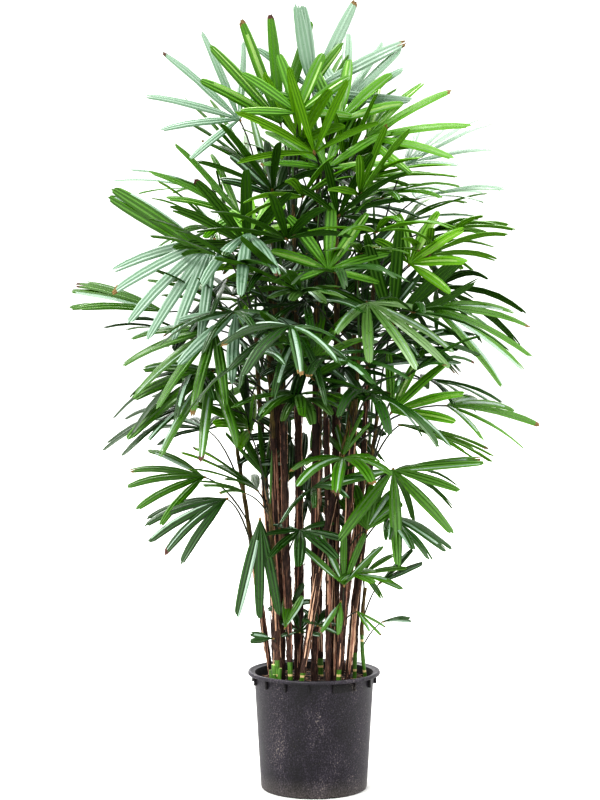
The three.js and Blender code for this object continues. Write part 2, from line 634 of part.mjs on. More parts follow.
// A cane's bare length is one part; above it the stem goes on in tiers, each one part with its fronds.
const tiers = [];
CANES.forEach((cane, caneIndex) => {
  const number = String(caneIndex + 1).padStart(2, '0');
  const heights = frondHeights(cane);
  const ranks = tiersOf(cane);
  const floors = ranks.map((tier) => heights[tier[0]] - HEAD.tierRoom);
  const bareLength = (margin) => stemGeometry(cane, SOIL_TOP + GAP, floors[0], CANE.stations, margin);
  addMesh(`cane_${number}`, bareLength(0), FINISH.cane);
  remember(solidOf(bareLength(CLEARANCE)), `cane_${number}`);
  ranks.forEach((tierRanks, i) => {
    const name = `fronds_${number}_${TIER_NAMES[ranks.length - 1][i]}`;
    const top = i + 1 < ranks.length ? floors[i + 1] : cane.height;
    const stem = (margin) => solidOf(stemGeometry(cane, floors[i] + GAP, top, 1, margin));
    remember(stem(CLEARANCE), name);
    tiers.push({ name, caneIndex, ranks: tierRanks, solids: [stem(0)] });
  });
});

// The fronds set out by hand take their room first, and the others grow into what they leave.
const fronds = tiers.flatMap((tier) => tier.ranks.map((rank) => ({ tier, rank })));
const isPosed = ({ tier, rank }) => Boolean(posedRow(tier.caneIndex, rank));
for (const { tier, rank } of [...fronds.filter(isPosed), ...fronds.filter((frond) => !isPosed(frond))]) {
  const frond = growFrond(tier.caneIndex, rank, tier.name);
  if (frond) {
    tier.solids.push(frondSolid(frond));
    remember(frond.stalk, tier.name);
    frond.grown.filter(Boolean).forEach(({ room }) => remember(room, tier.name));
  }
}
tiers.forEach(({ name, solids }) => addMesh(name, geometryOf(wasm.Manifold.union(solids)), FINISH.frond));

export default group;
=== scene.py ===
"""Looks of a lady palm in a black nursery container: leaves, canes, compost and container."""

import logging
import math
from collections.abc import Iterable, Sequence
from dataclasses import dataclass
from enum import Enum

import bmesh
import bpy
import numpy as np
from mathutils import Matrix, Vector, noise
from mathutils.kdtree import KDTree


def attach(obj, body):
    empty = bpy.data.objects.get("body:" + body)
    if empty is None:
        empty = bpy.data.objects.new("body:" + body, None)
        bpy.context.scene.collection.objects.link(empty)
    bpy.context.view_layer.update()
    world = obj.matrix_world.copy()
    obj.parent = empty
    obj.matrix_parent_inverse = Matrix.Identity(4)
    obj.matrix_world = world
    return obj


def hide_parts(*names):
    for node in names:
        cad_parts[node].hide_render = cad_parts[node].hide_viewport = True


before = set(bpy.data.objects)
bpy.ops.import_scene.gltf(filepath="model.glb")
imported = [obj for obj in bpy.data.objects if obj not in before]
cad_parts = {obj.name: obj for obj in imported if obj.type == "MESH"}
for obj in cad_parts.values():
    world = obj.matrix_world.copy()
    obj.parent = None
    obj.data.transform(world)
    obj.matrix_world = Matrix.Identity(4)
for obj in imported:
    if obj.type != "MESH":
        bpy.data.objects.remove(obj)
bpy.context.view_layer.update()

Array = np.ndarray
Tree, Node, Socket = bpy.types.NodeTree, bpy.types.Node, bpy.types.NodeSocket
Material, Mesh, Piece = bpy.types.Material, bpy.types.Mesh, bpy.types.Object
Shape, Edge = bmesh.types.BMesh, bmesh.types.BMEdge

logging.basicConfig(level=logging.INFO, format="%(levelname)s %(message)s")
LOG = logging.getLogger("lady_palm")

MM = 0.001
UP = np.array([0.0, 0.0, 1.0])
NEARLY_UP = np.array([0.113, 0.047, 1.0])
SHARP_ANGLE = math.radians(50)
PLEAT_ANGLE = math.radians(14)

# The container, in millimetres, as it was moulded.
POT_HEIGHT = 302.0
RIM_RADIUS = 171.0
BODY_RADIUS = 153.0
SOIL_TOP = 278.0

# Where each kind of chance starts, so that a change to one kind moves no other.
RANKS_APART = 16
LEAFLETS_APART = 64
FROND_SEED = 7919
LEAFLET_SEED = 104729
TINT_SEED = 811
BLADE_SEED = 60013
WEAR_SEED = 90001
INNER_SEED = 5001
BETWEEN_SEED = 1009
SPEAR_SEED = 70001
SHEATH_SEED = 3001
SHEATHS_APART = 97
LITTER_SEED = 424243


# ---- Numbers and directions ----------------------------------------------------------------------


def mix(start: float, end: float, share: float) -> float:
    """The value a share of the way from start to end."""
    return start + (end - start) * share


def along(line: Sequence[tuple[float, float]], x: float) -> float:
    """The height at x of a polyline of (x, y) points."""
    return float(np.interp(x, [point[0] for point in line], [point[1] for point in line]))


def varied(spread: float, chance: float) -> float:
    """A factor about 1 that a chance from 0 to 1 moves over a spread."""
    return 1 + spread * (chance - 0.5)


def unit(vector: Array) -> Array:
    """The vector, or each row of vectors, at length 1."""
    return vector / np.linalg.norm(vector, axis=-1, keepdims=True)


def heading(degrees: float, radius: float = 1.0, z: float = 0.0) -> Array:
    """A point at a heading and a radius from the upright axis."""
    angle = math.radians(degrees)
    return np.array([radius * math.cos(angle), radius * math.sin(angle), z])


def turned_about(vector: Array, axis: Array, degrees: float) -> Array:
    """A vector turned about a unit axis."""
    angle = math.radians(degrees)
    return (
        vector * math.cos(angle)
        + np.cross(axis, vector) * math.sin(angle)
        + axis * (axis @ vector) * (1 - math.cos(angle))
    )


class Draws:
    """Repeatable chances."""

    STEP = 48271
    SPAN = 2147483647

    def __init__(self, seed: int) -> None:
        """Start from a whole number above 0."""
        self.state = seed

    def chance(self) -> float:
        """The next number between 0 and 1."""
        self.state = self.state * self.STEP % self.SPAN
        return self.state / self.SPAN

    def between(self, low: float, high: float) -> float:
        """The next number between two."""
        return mix(low, high, self.chance())


# ---- Finishes ------------------------------------------------------------------------------------


def linear(code: str) -> tuple[float, float, float, float]:
    """A colour for a shader from its sRGB hex code."""
    parts = [int(code[i : i + 2], 16) / 255 for i in (1, 3, 5)]
    return (*[c / 12.92 if c <= 0.04045 else ((c + 0.055) / 1.055) ** 2.4 for c in parts], 1.0)


def add_node(
    tree: Tree,
    kind: str,
    settings: dict[str, object] | None = None,
    inputs: dict[str | int, object] | None = None,
) -> Node:
    """Add a node with its settings, and with a value or a link for each named input.

    Args:
        tree: The material's node tree.
        kind: The node's type name.
        settings: Attributes of the node.
        inputs: Input sockets by name or number, each a plain value or an output socket.

    Returns:
        The new node.
    """
    node = tree.nodes.new(kind)
    for name, value in (settings or {}).items():
        setattr(node, name, value)
    for name, value in (inputs or {}).items():
        if isinstance(value, Socket):
            tree.links.new(value, node.inputs[name])
        else:
            node.inputs[name].default_value = value
    return node


def ramp(tree: Tree, factor: Socket, stops: Sequence[tuple[float, str]]) -> Socket:
    """A colour taken from a row of stops by a factor.

    Args:
        tree: The material's node tree.
        factor: The socket that says where along the row.
        stops: Places from 0 to 1 with their sRGB hex codes.

    Returns:
        The colour socket.
    """
    node = add_node(tree, "ShaderNodeValToRGB", inputs={"Fac": factor})
    elements = node.color_ramp.elements
    elements.remove(elements[0])
    elements[0].position = stops[0][0]
    elements[0].color = linear(stops[0][1])
    for place, code in stops[1:]:
        elements.new(place).color = linear(code)
    return node.outputs["Color"]


def pattern(
    tree: Tree,
    size: tuple[float, float, float],
    detail: float = 3.0,
    kind: str = "ShaderNodeTexNoise",
    output: str = "Fac",
) -> Socket:
    """A pattern in the object's own space, with marks of a size in millimetres along each axis.

    Args:
        tree: The material's node tree.
        size: How long a mark is along X, Y and Z, in millimetres.
        detail: How many finer layers it has, for a noise.
        kind: The texture node's type name.
        output: The texture's output to use.

    Returns:
        The pattern's socket.
    """
    coordinates = add_node(tree, "ShaderNodeTexCoord")
    mapping = add_node(
        tree,
        "ShaderNodeMapping",
        inputs={
            "Vector": coordinates.outputs["Object"],
            "Scale": [1 / (mark * MM) for mark in size],
        },
    )
    inputs = {"Vector": mapping.outputs["Vector"], "Scale": 1.0}
    if kind == "ShaderNodeTexNoise":
        inputs["Detail"] = detail
    return add_node(tree, kind, inputs=inputs).outputs[output]


def ranged(tree: Tree, value: Socket, low: float, high: float) -> Socket:
    """A noise's middle range stretched from low to high."""
    inputs = {"Value": value, "From Min": 0.3, "From Max": 0.7, "To Min": low, "To Max": high}
    return add_node(tree, "ShaderNodeMapRange", inputs=inputs).outputs["Result"]


def laid_over(tree: Tree, fine: Socket, broad: Socket, weight: float) -> Socket:
    """A fine pattern with a broad one laid over it, brought back to the range of one.

    Args:
        tree: The material's node tree.
        fine: The fine pattern.
        broad: The broad pattern.
        weight: How strong the broad one is beside the fine one.

    Returns:
        The socket of the two together.
    """
    inputs = {0: broad, 1: weight, 2: fine}
    total = add_node(tree, "ShaderNodeMath", {"operation": "MULTIPLY_ADD"}, inputs)
    inputs = {0: total.outputs[0], 1: round(1 / (1 + weight), 3)}
    return add_node(tree, "ShaderNodeMath", {"operation": "MULTIPLY"}, inputs).outputs[0]


def along_axis(tree: Tree, space: str, axis: str) -> Socket:
    """The place along one axis of a texture space."""
    places = add_node(tree, "ShaderNodeTexCoord").outputs[space]
    return add_node(tree, "ShaderNodeSeparateXYZ", inputs={"Vector": places}).outputs[axis]


@dataclass(frozen=True)
class Finish:
    """What a surface is made of. A subclass adds the nodes that its material needs."""

    name: str
    colour: str
    roughness: float

    def material(self) -> Material:
        """Make the material the first time that it is asked for.

        Returns:
            The one material of this finish.
        """
        made = bpy.data.materials.get(self.name)
        if made is None:
            made = bpy.data.materials.new(self.name)
            made.use_nodes = True
            shader = made.node_tree.nodes["Principled BSDF"]
            shader.inputs["Base Color"].default_value = linear(self.colour)
            shader.inputs["Roughness"].default_value = self.roughness
            self.dress(made.node_tree, shader)
        return made

    def dress(self, tree: Tree, shader: Node) -> None:
        """Add this finish's own nodes.

        Args:
            tree: The material's node tree.
            shader: Its surface shader.
        """
        raise NotImplementedError

    def bump(
        self,
        tree: Tree,
        shader: Node,
        height: Socket,
        depth: float,
        strength: float = 1.0,
    ) -> None:
        """Raise the surface by a pattern.

        Args:
            tree: The material's node tree.
            shader: Its surface shader.
            height: The pattern.
            depth: How deep the relief is, in millimetres.
            strength: How much of it the light sees.
        """
        inputs = {"Height": height, "Distance": depth * MM, "Strength": strength}
        node = add_node(tree, "ShaderNodeBump", inputs=inputs)
        tree.links.new(node.outputs["Normal"], shader.inputs["Normal"])


@dataclass(frozen=True)
class LeafSkin(Finish):
    """Living leaf under a thin skin of wax, which gives a broken satin gleam."""

    specular: float = 0.5
    PUCKER = (9, 9, 9)

    def dress(self, tree: Tree, shader: Node) -> None:
        """Break the gleam up and pucker the skin slightly between the veins.

        Args:
            tree: The material's node tree.
            shader: Its surface shader.
        """
        shader.inputs["Specular IOR Level"].default_value = self.specular
        patches = pattern(tree, (26, 26, 26))
        rough = ranged(tree, patches, self.roughness - 0.08, self.roughness + 0.16)
        tree.links.new(rough, shader.inputs["Roughness"])
        self.bump(tree, shader, pattern(tree, self.PUCKER, 1.0), 0.3, 0.5)


@dataclass(frozen=True)
class DeadLeaf(Finish):
    """Leaf that has dried to a papery brown."""

    pale: str = "#84693f"

    def dress(self, tree: Tree, shader: Node) -> None:
        """Mottle the paper and crinkle it.

        Args:
            tree: The material's node tree.
            shader: Its surface shader.
        """
        mottle = pattern(tree, (5, 5, 5))
        colour = ramp(tree, mottle, [(0.3, self.colour), (0.75, self.pale)])
        tree.links.new(colour, shader.inputs["Base Color"])
        self.bump(tree, shader, mottle, 0.4)


@dataclass(frozen=True)
class Stalk(Finish):
    """Smooth tough skin of a leaf stalk, a spear or a young cane."""

    pale: str = "#6d8f45"

    def dress(self, tree: Tree, shader: Node) -> None:
        """Run pale streaks up the skin.

        Args:
            tree: The material's node tree.
            shader: Its surface shader.
        """
        streaks = pattern(tree, (1.6, 1.6, 40))
        colour = ramp(tree, streaks, [(0.38, self.colour), (0.72, self.pale)])
        tree.links.new(colour, shader.inputs["Base Color"])
        self.bump(tree, shader, streaks, 0.15, 0.6)


@dataclass(frozen=True)
class Fibre(Finish):
    """Woven brown fibre of old leaf sheaths: dull, streaked upwards, with a torn woody grain."""

    dark: str = "#17100c"
    pale: str = "#8d6a4c"
    grain: float = 1.5

    def dress(self, tree: Tree, shader: Node) -> None:
        """Streak the fibre from dark to pale, in broad patches and in single threads.

        Args:
            tree: The material's node tree.
            shader: Its surface shader.
        """
        threads = pattern(tree, (self.grain, self.grain, 34), 4.0)
        patches = pattern(tree, (14, 14, 60), 2.0)
        stops = [(0.34, self.dark), (0.5, self.colour), (0.68, self.pale)]
        colour = ramp(tree, laid_over(tree, threads, patches, 0.5), stops)
        tree.links.new(colour, shader.inputs["Base Color"])
        self.bump(tree, shader, threads, 1.1)


@dataclass(frozen=True)
class NurseryPlastic(Finish):
    """Black recycled polypropylene: dull satin, clouded, pitted, dusty and palest at its foot."""

    dark: str = "#121014"
    worn: str = "#36313a"
    dust: str = "#8e867c"

    def dress(self, tree: Tree, shader: Node) -> None:
        """Cloud and speckle the black, lay pale grit and splashed earth on it, and pit it.

        Args:
            tree: The material's node tree.
            shader: Its surface shader.
        """
        shader.inputs["Specular IOR Level"].default_value = 0.4
        clouds = pattern(tree, (70, 70, 120), 4.0)
        speckle = pattern(tree, (3.2, 3.2, 4.0), 3.0)
        stops = [(0.4, self.dark), (0.5, self.colour), (0.6, self.worn), (0.76, self.dust)]
        plain = ramp(tree, laid_over(tree, speckle, clouds, 0.7), stops)
        height = along_axis(tree, "Object", "Z")
        inputs = {"Value": height, "From Min": 50 * MM, "From Max": 0.0, "To Max": 0.3}
        ground = add_node(tree, "ShaderNodeMapRange", inputs=inputs).outputs["Result"]
        grit = pattern(tree, (7, 7, 7), kind="ShaderNodeTexVoronoi", output="Distance")
        inputs = {"Value": grit, "From Min": 0.16, "From Max": 0.06, "To Max": 0.8}
        grains = add_node(tree, "ShaderNodeMapRange", inputs=inputs).outputs["Result"]
        inputs = {0: grains, 1: ranged(tree, clouds, 0.0, 1.0)}
        lying = add_node(tree, "ShaderNodeMath", {"operation": "MULTIPLY"}, inputs).outputs[0]
        settings = {"operation": "MULTIPLY_ADD", "use_clamp": True}
        inputs = {0: ground, 1: ranged(tree, speckle, 0.2, 1.0), 2: lying}
        earth = add_node(tree, "ShaderNodeMath", settings, inputs).outputs[0]
        inputs = {0: earth, 6: plain, 7: linear(self.dust)}
        mixed = add_node(tree, "ShaderNodeMix", {"data_type": "RGBA"}, inputs)
        tree.links.new(mixed.outputs[2], shader.inputs["Base Color"])
        rough = ranged(tree, clouds, self.roughness - 0.06, self.roughness + 0.14)
        tree.links.new(rough, shader.inputs["Roughness"])
        self.bump(tree, shader, speckle, 0.5, 0.7)


@dataclass(frozen=True)
class Compost(Finish):
    """Damp peat and bark crumbs: black-brown, with no gleam."""

    pale: str = "#42301f"

    def dress(self, tree: Tree, shader: Node) -> None:
        """Mix crumbs of two sizes.

        Args:
            tree: The material's node tree.
            shader: Its surface shader.
        """
        crumbs = pattern(tree, (5, 5, 5), 5.0)
        stops = [(0.35, "#120e0b"), (0.55, self.colour), (0.75, self.pale)]
        tree.links.new(ramp(tree, crumbs, stops), shader.inputs["Base Color"])
        self.bump(tree, shader, crumbs, 2.5)


@dataclass(frozen=True)
class PlainPaint(Finish):
    """Even matt paint of a studio floor."""

    def dress(self, tree: Tree, shader: Node) -> None:
        """Give the paint a barely visible tooth."""
        self.bump(tree, shader, pattern(tree, (4, 4, 4), 1.0), 0.02)


@dataclass(frozen=True)
class Greens:
    """The greens of one kind of frond, above and underneath: a plain green, and a darker copy of it
    painted as shade on every other pleat facet.
    """

    name: str
    top: str
    top_painted_shade_facet: str
    # The underside greens are brighter than the upper ones: partly the paler underside of the leaf,
    # partly painted light shining through it.
    under: str
    under_painted_shade_facet: str
    gleam: float = 0.45

    def skins(self) -> list[LeafSkin]:
        """The finishes of the upper plain and painted-shade facets, and then of those underneath."""
        return [
            LeafSkin(f"Leaf_{self.name}_top_plain_facet", self.top, 0.3, self.gleam),
            LeafSkin(f"Leaf_{self.name}_top_painted_shade_facet", self.top_painted_shade_facet, 0.3, self.gleam),
            LeafSkin(f"Leaf_{self.name}_under_plain_facet", self.under, 0.5, 0.25),
            LeafSkin(f"Leaf_{self.name}_under_painted_shade_facet", self.under_painted_shade_facet, 0.5, 0.25),
        ]


class Tint(Enum):
    """The greens that fronds have, from the bright young greens to the dark old ones; the darker
    greens also stand as painted shade within the crown, and GREY is a painted sheen.
    """

    SPRING = Greens("spring", "#5e8e06", "#467402", "#74a20a", "#5e8a06")
    FRESH = Greens("fresh", "#4c7e02", "#3a6602", "#689806", "#528002")
    FULL = Greens("full", "#406c0a", "#305606", "#5e8a0a", "#487206")
    DEEP = Greens("deep", "#22480a", "#163106", "#385e08", "#284c06")
    WAXED = Greens("waxed", "#547538", "#406026", "#5e8a1a", "#4c7812", 0.8)
    # GREY: a pale grey-green on the upper side, a painted sheen of the bright sky on leaves that
    # face up.
    GREY = Greens("painted_sheen", "#78917c", "#5f7d64", "#5c8a2c", "#4a7820", 0.9)


# Pale streaks laid along a few leaflets' facets: painted highlights of a glossy sheen.
PAINTED_SHEEN_STREAK = LeafSkin("Leaf_painted_sheen_streak", "#7e9482", 0.25, 0.8)
PAINTED_PALE_SHEEN_STREAK = LeafSkin("Leaf_painted_pale_sheen_streak", "#7a9a4c", 0.25, 0.8)
DRY_TIP = DeadLeaf("Leaf_tip_dried", "#4c3c22", 0.8)
RED_TIP = DeadLeaf("Leaf_tip_scorched", "#38201a", 0.75, "#5c3a2c")
PETIOLE_SKIN = Stalk("Leaf_stalk_skin", "#15190f", 0.5, "#343d20")
HUB_SKIN = Stalk("Leaf_hub_corky", "#5e4a28", 0.7, "#8c7142")
SPEAR_SKIN = Stalk("Spear_skin", "#2c4e14", 0.4, "#51772a")
CANE_SKIN = Stalk("Young_cane_skin", "#2c5010", 0.4, "#5e8a2c")
CANE_RING = Stalk("Cane_leaf_scar", "#b0976a", 0.75, "#d8c79a")
STUMP_CUT = Stalk("Cane_cut_face", "#b6c277", 0.6, "#dfe0ac")
SHEATH_FIBRE = Fibre("Sheath_fibre_weathered", "#33221d", 0.9, "#120b0a", "#765849")
HEAD_FIBRE = Fibre("Sheath_fibre_young", "#46391f", 0.85, "#1c160e", "#8c7a48")
LATHS = (
    Fibre("Sheath_lath_tan", "#b8947c", 0.8, "#6a4f3e", "#e6cbb4"),
    Fibre("Sheath_lath_pinkish", "#926a58", 0.8, "#4a332b", "#bd9782"),
    Fibre("Sheath_lath_dark", "#3f2c24", 0.85, "#1d1511", "#644a3d"),
)
HAIR_FIBRE = Fibre("Sheath_hair", "#2c1d15", 0.9, "#150e0a", "#6b4c35")
POT_PLASTIC = NurseryPlastic("Polypropylene_black_recycled", "#221e26", 0.45)
# Darker grained plastic of the bare panel, also laid on the gussets and the inner wall as painted
# shade.
PANEL_PLASTIC_AND_PAINTED_SHADE = NurseryPlastic("Polypropylene_black_grained_and_painted_shade", "#141214", 0.6, "#0c0b0d", "#2a2729")
COMPOST = Compost("Compost_peat_and_bark", "#1c140f", 0.95)
CHIP_BARK = Fibre("Bark_chip", "#33241b", 0.9, "#17100c", "#6a4e3a")
FLOOR_PAINT = PlainPaint("Studio_floor_paint", "#bebebc", 0.9)


# ---- Meshes --------------------------------------------------------------------------------------


def linked(name: str, data: bpy.types.ID) -> Piece:
    """An object in the scene.

    Args:
        name: Its name.
        data: Its mesh, light or camera.

    Returns:
        The object, at the origin.
    """
    piece = bpy.data.objects.new(name, data)
    bpy.context.scene.collection.objects.link(piece)
    return piece


def finished(
    mesh: Mesh, name: str, finishes: Sequence[Finish], sharp: float = SHARP_ANGLE
) -> Piece:
    """A mesh as an object at the origin with its materials.

    Args:
        mesh: The mesh, in metres and in place.
        name: The piece's name.
        finishes: One finish for each material slot.
        sharp: The angle in radians from which two faces meet in a sharp edge.

    Returns:
        The object, linked into the scene.
    """
    for finish in finishes:
        mesh.materials.append(finish.material())
    mesh.shade_smooth()
    mesh.set_sharp_from_angle(angle=sharp)
    return linked(name, mesh)


def placed(piece: Piece, slot: str, *nodes: str) -> Piece:
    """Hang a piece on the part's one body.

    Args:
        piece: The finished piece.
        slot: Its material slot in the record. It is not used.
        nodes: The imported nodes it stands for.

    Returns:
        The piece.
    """
    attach(piece, "root")
    if nodes:
        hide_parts(*nodes)
    LOG.info("%s: %d faces for %s", piece.name, len(piece.data.polygons), nodes or "no node")
    return piece


class Sheaf:
    """Many small closed shapes, in millimetres, gathered into one mesh."""

    def __init__(self) -> None:
        """Start empty."""
        self.points: list[Array] = []
        self.faces: list[Array] = []
        self.slots: list[Array] = []
        self.finishes: list[Finish] = []
        self.count = 0

    def slot(self, finish: Finish) -> int:
        """The number of a finish's material slot, which is new the first time."""
        if finish not in self.finishes:
            self.finishes.append(finish)
        return self.finishes.index(finish)

    def add(self, points: Array, faces: Array, slots: int | Array) -> None:
        """Add a closed shape.

        Args:
            points: Its points, one a row.
            faces: Its faces of three or of four corners, one a row.
            slots: The material slot of all its faces, or of each.
        """
        self.points.append(points)
        self.faces.append(faces + self.count)
        self.slots.append(np.broadcast_to(slots, len(faces)))
        self.count += len(points)

    def piece(self, name: str, sharp: float = SHARP_ANGLE) -> Piece:
        """The mesh of all the shapes as an object.

        Args:
            name: The piece's name.
            sharp: The angle in radians from which two faces meet in a sharp edge.

        Returns:
            The object, linked into the scene.
        """
        mesh = bpy.data.meshes.new(name)
        sizes = np.concatenate([np.full(len(faces), faces.shape[1]) for faces in self.faces])
        corners = np.concatenate([faces.ravel() for faces in self.faces])
        mesh.vertices.add(self.count)
        mesh.vertices.foreach_set("co", (np.concatenate(self.points) * MM).ravel())
        mesh.loops.add(len(corners))
        mesh.loops.foreach_set("vertex_index", corners)
        mesh.polygons.add(len(sizes))
        mesh.polygons.foreach_set("loop_start", np.concatenate([[0], np.cumsum(sizes)[:-1]]))
        mesh.polygons.foreach_set("material_index", np.concatenate(self.slots))
        mesh.update(calc_edges=True)
        mesh.validate()
        return finished(mesh, name, self.finishes, sharp)


def grid_faces(rows: int, columns: int) -> Array:
    """The faces of a closed thin shell of two grids, the upper one first, then its edge.

    Args:
        rows: Points from root to tip.
        columns: Points across.

    Returns:
        Faces of four corners: the upper side, the underside, the two long edges and the two ends.
    """
    at = np.arange(rows * columns).reshape(rows, columns)
    low = at + rows * columns
    a, b, c, d = at[:-1, :-1], at[1:, :-1], at[1:, 1:], at[:-1, 1:]
    upper = np.stack([a, b, c, d], -1).reshape(-1, 4)
    under = upper[:, ::-1] + rows * columns
    left = np.stack([at[:-1, 0], low[:-1, 0], low[1:, 0], at[1:, 0]], -1)
    right = np.stack([at[:-1, -1], at[1:, -1], low[1:, -1], low[:-1, -1]], -1)
    root = np.stack([at[0, :-1], at[0, 1:], low[0, 1:], low[0, :-1]], -1)
    tip = np.stack([at[-1, :-1], low[-1, :-1], low[-1, 1:], at[-1, 1:]], -1)
    return np.concatenate([upper, under, left, right, root, tip])


def tube(
    middles: Array, sides: Array, outs: Array, wide: Array, deep: Array, count: int
) -> tuple[Array, Array]:
    """A closed tube of an oval section.

    Args:
        middles: The middle of each section.
        sides: The unit direction across each section.
        outs: The unit direction out of each section, a quarter turn on from the side.
        wide: Half the width of each section.
        deep: Half the depth of each section.
        count: How many points a section has, an even number.

    Returns:
        Its points and its faces of four corners.
    """
    turns = 2 * np.pi * (np.arange(count) + 0.5) / count
    rings = (
        middles[:, None]
        + sides[:, None] * (np.cos(turns)[:, None] * wide[:, None, None])
        + outs[:, None] * (np.sin(turns)[:, None] * deep[:, None, None])
    )
    at = np.arange(rings.shape[0] * count).reshape(-1, count)
    nxt = np.roll(at, -1, axis=1)
    walls = np.stack([at[:-1], nxt[:-1], nxt[1:], at[1:]], -1).reshape(-1, 4)
    pairs = np.arange(count // 2 - 1)
    foot = np.stack([at[0, pairs], at[0, -1 - pairs], at[0, -2 - pairs], at[0, pairs + 1]], -1)
    head = np.stack([at[-1, pairs], at[-1, pairs + 1], at[-1, -2 - pairs], at[-1, -1 - pairs]], -1)
    return rings.reshape(-1, 3), np.concatenate([walls, foot, head])


def stem_tube(middles: Array, radii: Sequence[float], count: int) -> tuple[Array, Array]:
    """A closed round tube along a line of points.

    Args:
        middles: The points.
        radii: The radius at each.
        count: How many points a section has, an even number.

    Returns:
        Its points and its faces of four corners.
    """
    tangents = unit(np.gradient(middles, axis=0))
    sides = unit(np.cross(tangents, NEARLY_UP))
    return tube(middles, sides, np.cross(tangents, sides), np.array(radii), np.array(radii), count)


def turned_profile(profile: Sequence[tuple[float, float]], steps: int) -> Shape:
    """A bmesh turned from a profile of (radius, height) points about the upright axis.

    Args:
        profile: The points, in millimetres, ordered so that the material lies to their left.
        steps: How many steps the full turn has.

    Returns:
        The bmesh, in millimetres, with its faces outwards.
    """
    shape = bmesh.new()
    rail = [shape.verts.new((radius, 0, height)) for radius, height in profile]
    edges = [shape.edges.new(pair) for pair in zip(rail, rail[1:])]
    bmesh.ops.spin(
        shape,
        geom=rail + edges,
        cent=(0, 0, 0),
        axis=(0, 0, 1),
        angle=math.tau,
        steps=steps,
        use_merge=True,
    )
    bmesh.ops.remove_doubles(shape, verts=shape.verts, dist=0.01)
    bmesh.ops.recalc_face_normals(shape, faces=shape.faces)
    return shape


def settled(shape: Shape, name: str) -> Mesh:
    """A bmesh in millimetres as a mesh in metres.

    Args:
        shape: The bmesh, which is used up.
        name: The mesh's name.

    Returns:
        The mesh.
    """
    bmesh.ops.scale(shape, vec=(MM, MM, MM), verts=shape.verts)
    mesh = bpy.data.meshes.new(name)
    shape.to_mesh(mesh)
    shape.free()
    return mesh


def joined(shapes: Iterable[Shape], name: str) -> Mesh:
    """Several bmeshes in millimetres as one mesh in metres.

    Args:
        shapes: The bmeshes, which are used up.
        name: The mesh's name.

    Returns:
        The mesh.
    """
    whole = bmesh.new()
    for shape in shapes:
        whole.from_mesh(settled(shape, "part"))
    mesh = bpy.data.meshes.new(name)
    whole.to_mesh(mesh)
    whole.free()
    return mesh


def block(
    shape: Shape, size: tuple[float, float, float], middle: tuple[float, float, float]
) -> list[bmesh.types.BMVert]:
    """Add a box to a bmesh.

    Args:
        shape: The bmesh.
        size: Its size along each axis.
        middle: Its middle.

    Returns:
        Its corners.
    """
    corners = bmesh.ops.create_cube(shape, size=1.0)["verts"]
    bmesh.ops.scale(shape, vec=size, verts=corners)
    bmesh.ops.translate(shape, vec=middle, verts=corners)
    return corners


def bevel_all(shape: Shape, edges: Iterable[Edge], width: float, segments: int) -> None:
    """Round some edges of a bmesh to a width in millimetres."""
    bmesh.ops.bevel(
        shape,
        geom=list(edges),
        offset=width,
        segments=segments,
        affect="EDGES",
        profile=0.5,
        material=-1,
    )


# ---- Canes ---------------------------------------------------------------------------------------


@dataclass(frozen=True)
class Cane:
    """One upright cane of the clump.

    foot, lean: Where it stands on the soil, and how far its head leans from there.
    height, girth: The height of its head and its greatest radius.
    fronds, turn, size: How many living fronds it has, the heading of the lowest, and their size.
    """

    foot: tuple[float, float]
    lean: tuple[float, float]
    height: float
    girth: float
    fronds: int
    turn: float
    size: float = 1.0

    BOW = 9.0
    TOP_ROOM = 26.0
    SPACING = 64.0
    PER_TIER = 4
    TIER_ROOM = 9.0

    def share(self, z: float) -> float:
        """How far up the cane a height is."""
        return (z - SOIL_TOP) / (self.height - SOIL_TOP)

    def axis(self, z: float) -> Array:
        """The middle of the cane at a height.

        Args:
            z: The height.

        Returns:
            The point.
        """
        share = self.share(z)
        bow = self.BOW * math.sin(math.pi * share) * math.cos(self.turn)
        x, y = (foot + lean * share for foot, lean in zip(self.foot, self.lean))
        return np.array([x + bow, y, z])

    def radius(self, z: float) -> float:
        """The cane's radius at a height."""
        line = [(0, self.girth * 0.82), (0.25, self.girth), (0.6, self.girth * 0.86), (1, 4.6)]
        return along(line, self.share(z))

    def frond_height(self, rank: float) -> float:
        """The height at which a frond leaves the cane, by its rank from the oldest."""
        return self.height - self.TOP_ROOM - self.SPACING * (self.fronds - 1 - rank)

    def tiers(self) -> list[list[int]]:
        """Share the fronds out in tiers.

        Returns:
            The ranks of each tier, the lowest tier first.
        """
        count = math.ceil(self.fronds / self.PER_TIER)
        shared: list[list[int]] = [[] for _ in range(count)]
        for rank in range(self.fronds):
            shared[rank * count // self.fronds].append(rank)
        return shared

    def bare_top(self) -> float:
        """The height at which the fronds begin."""
        return self.frond_height(0) - self.TIER_ROOM


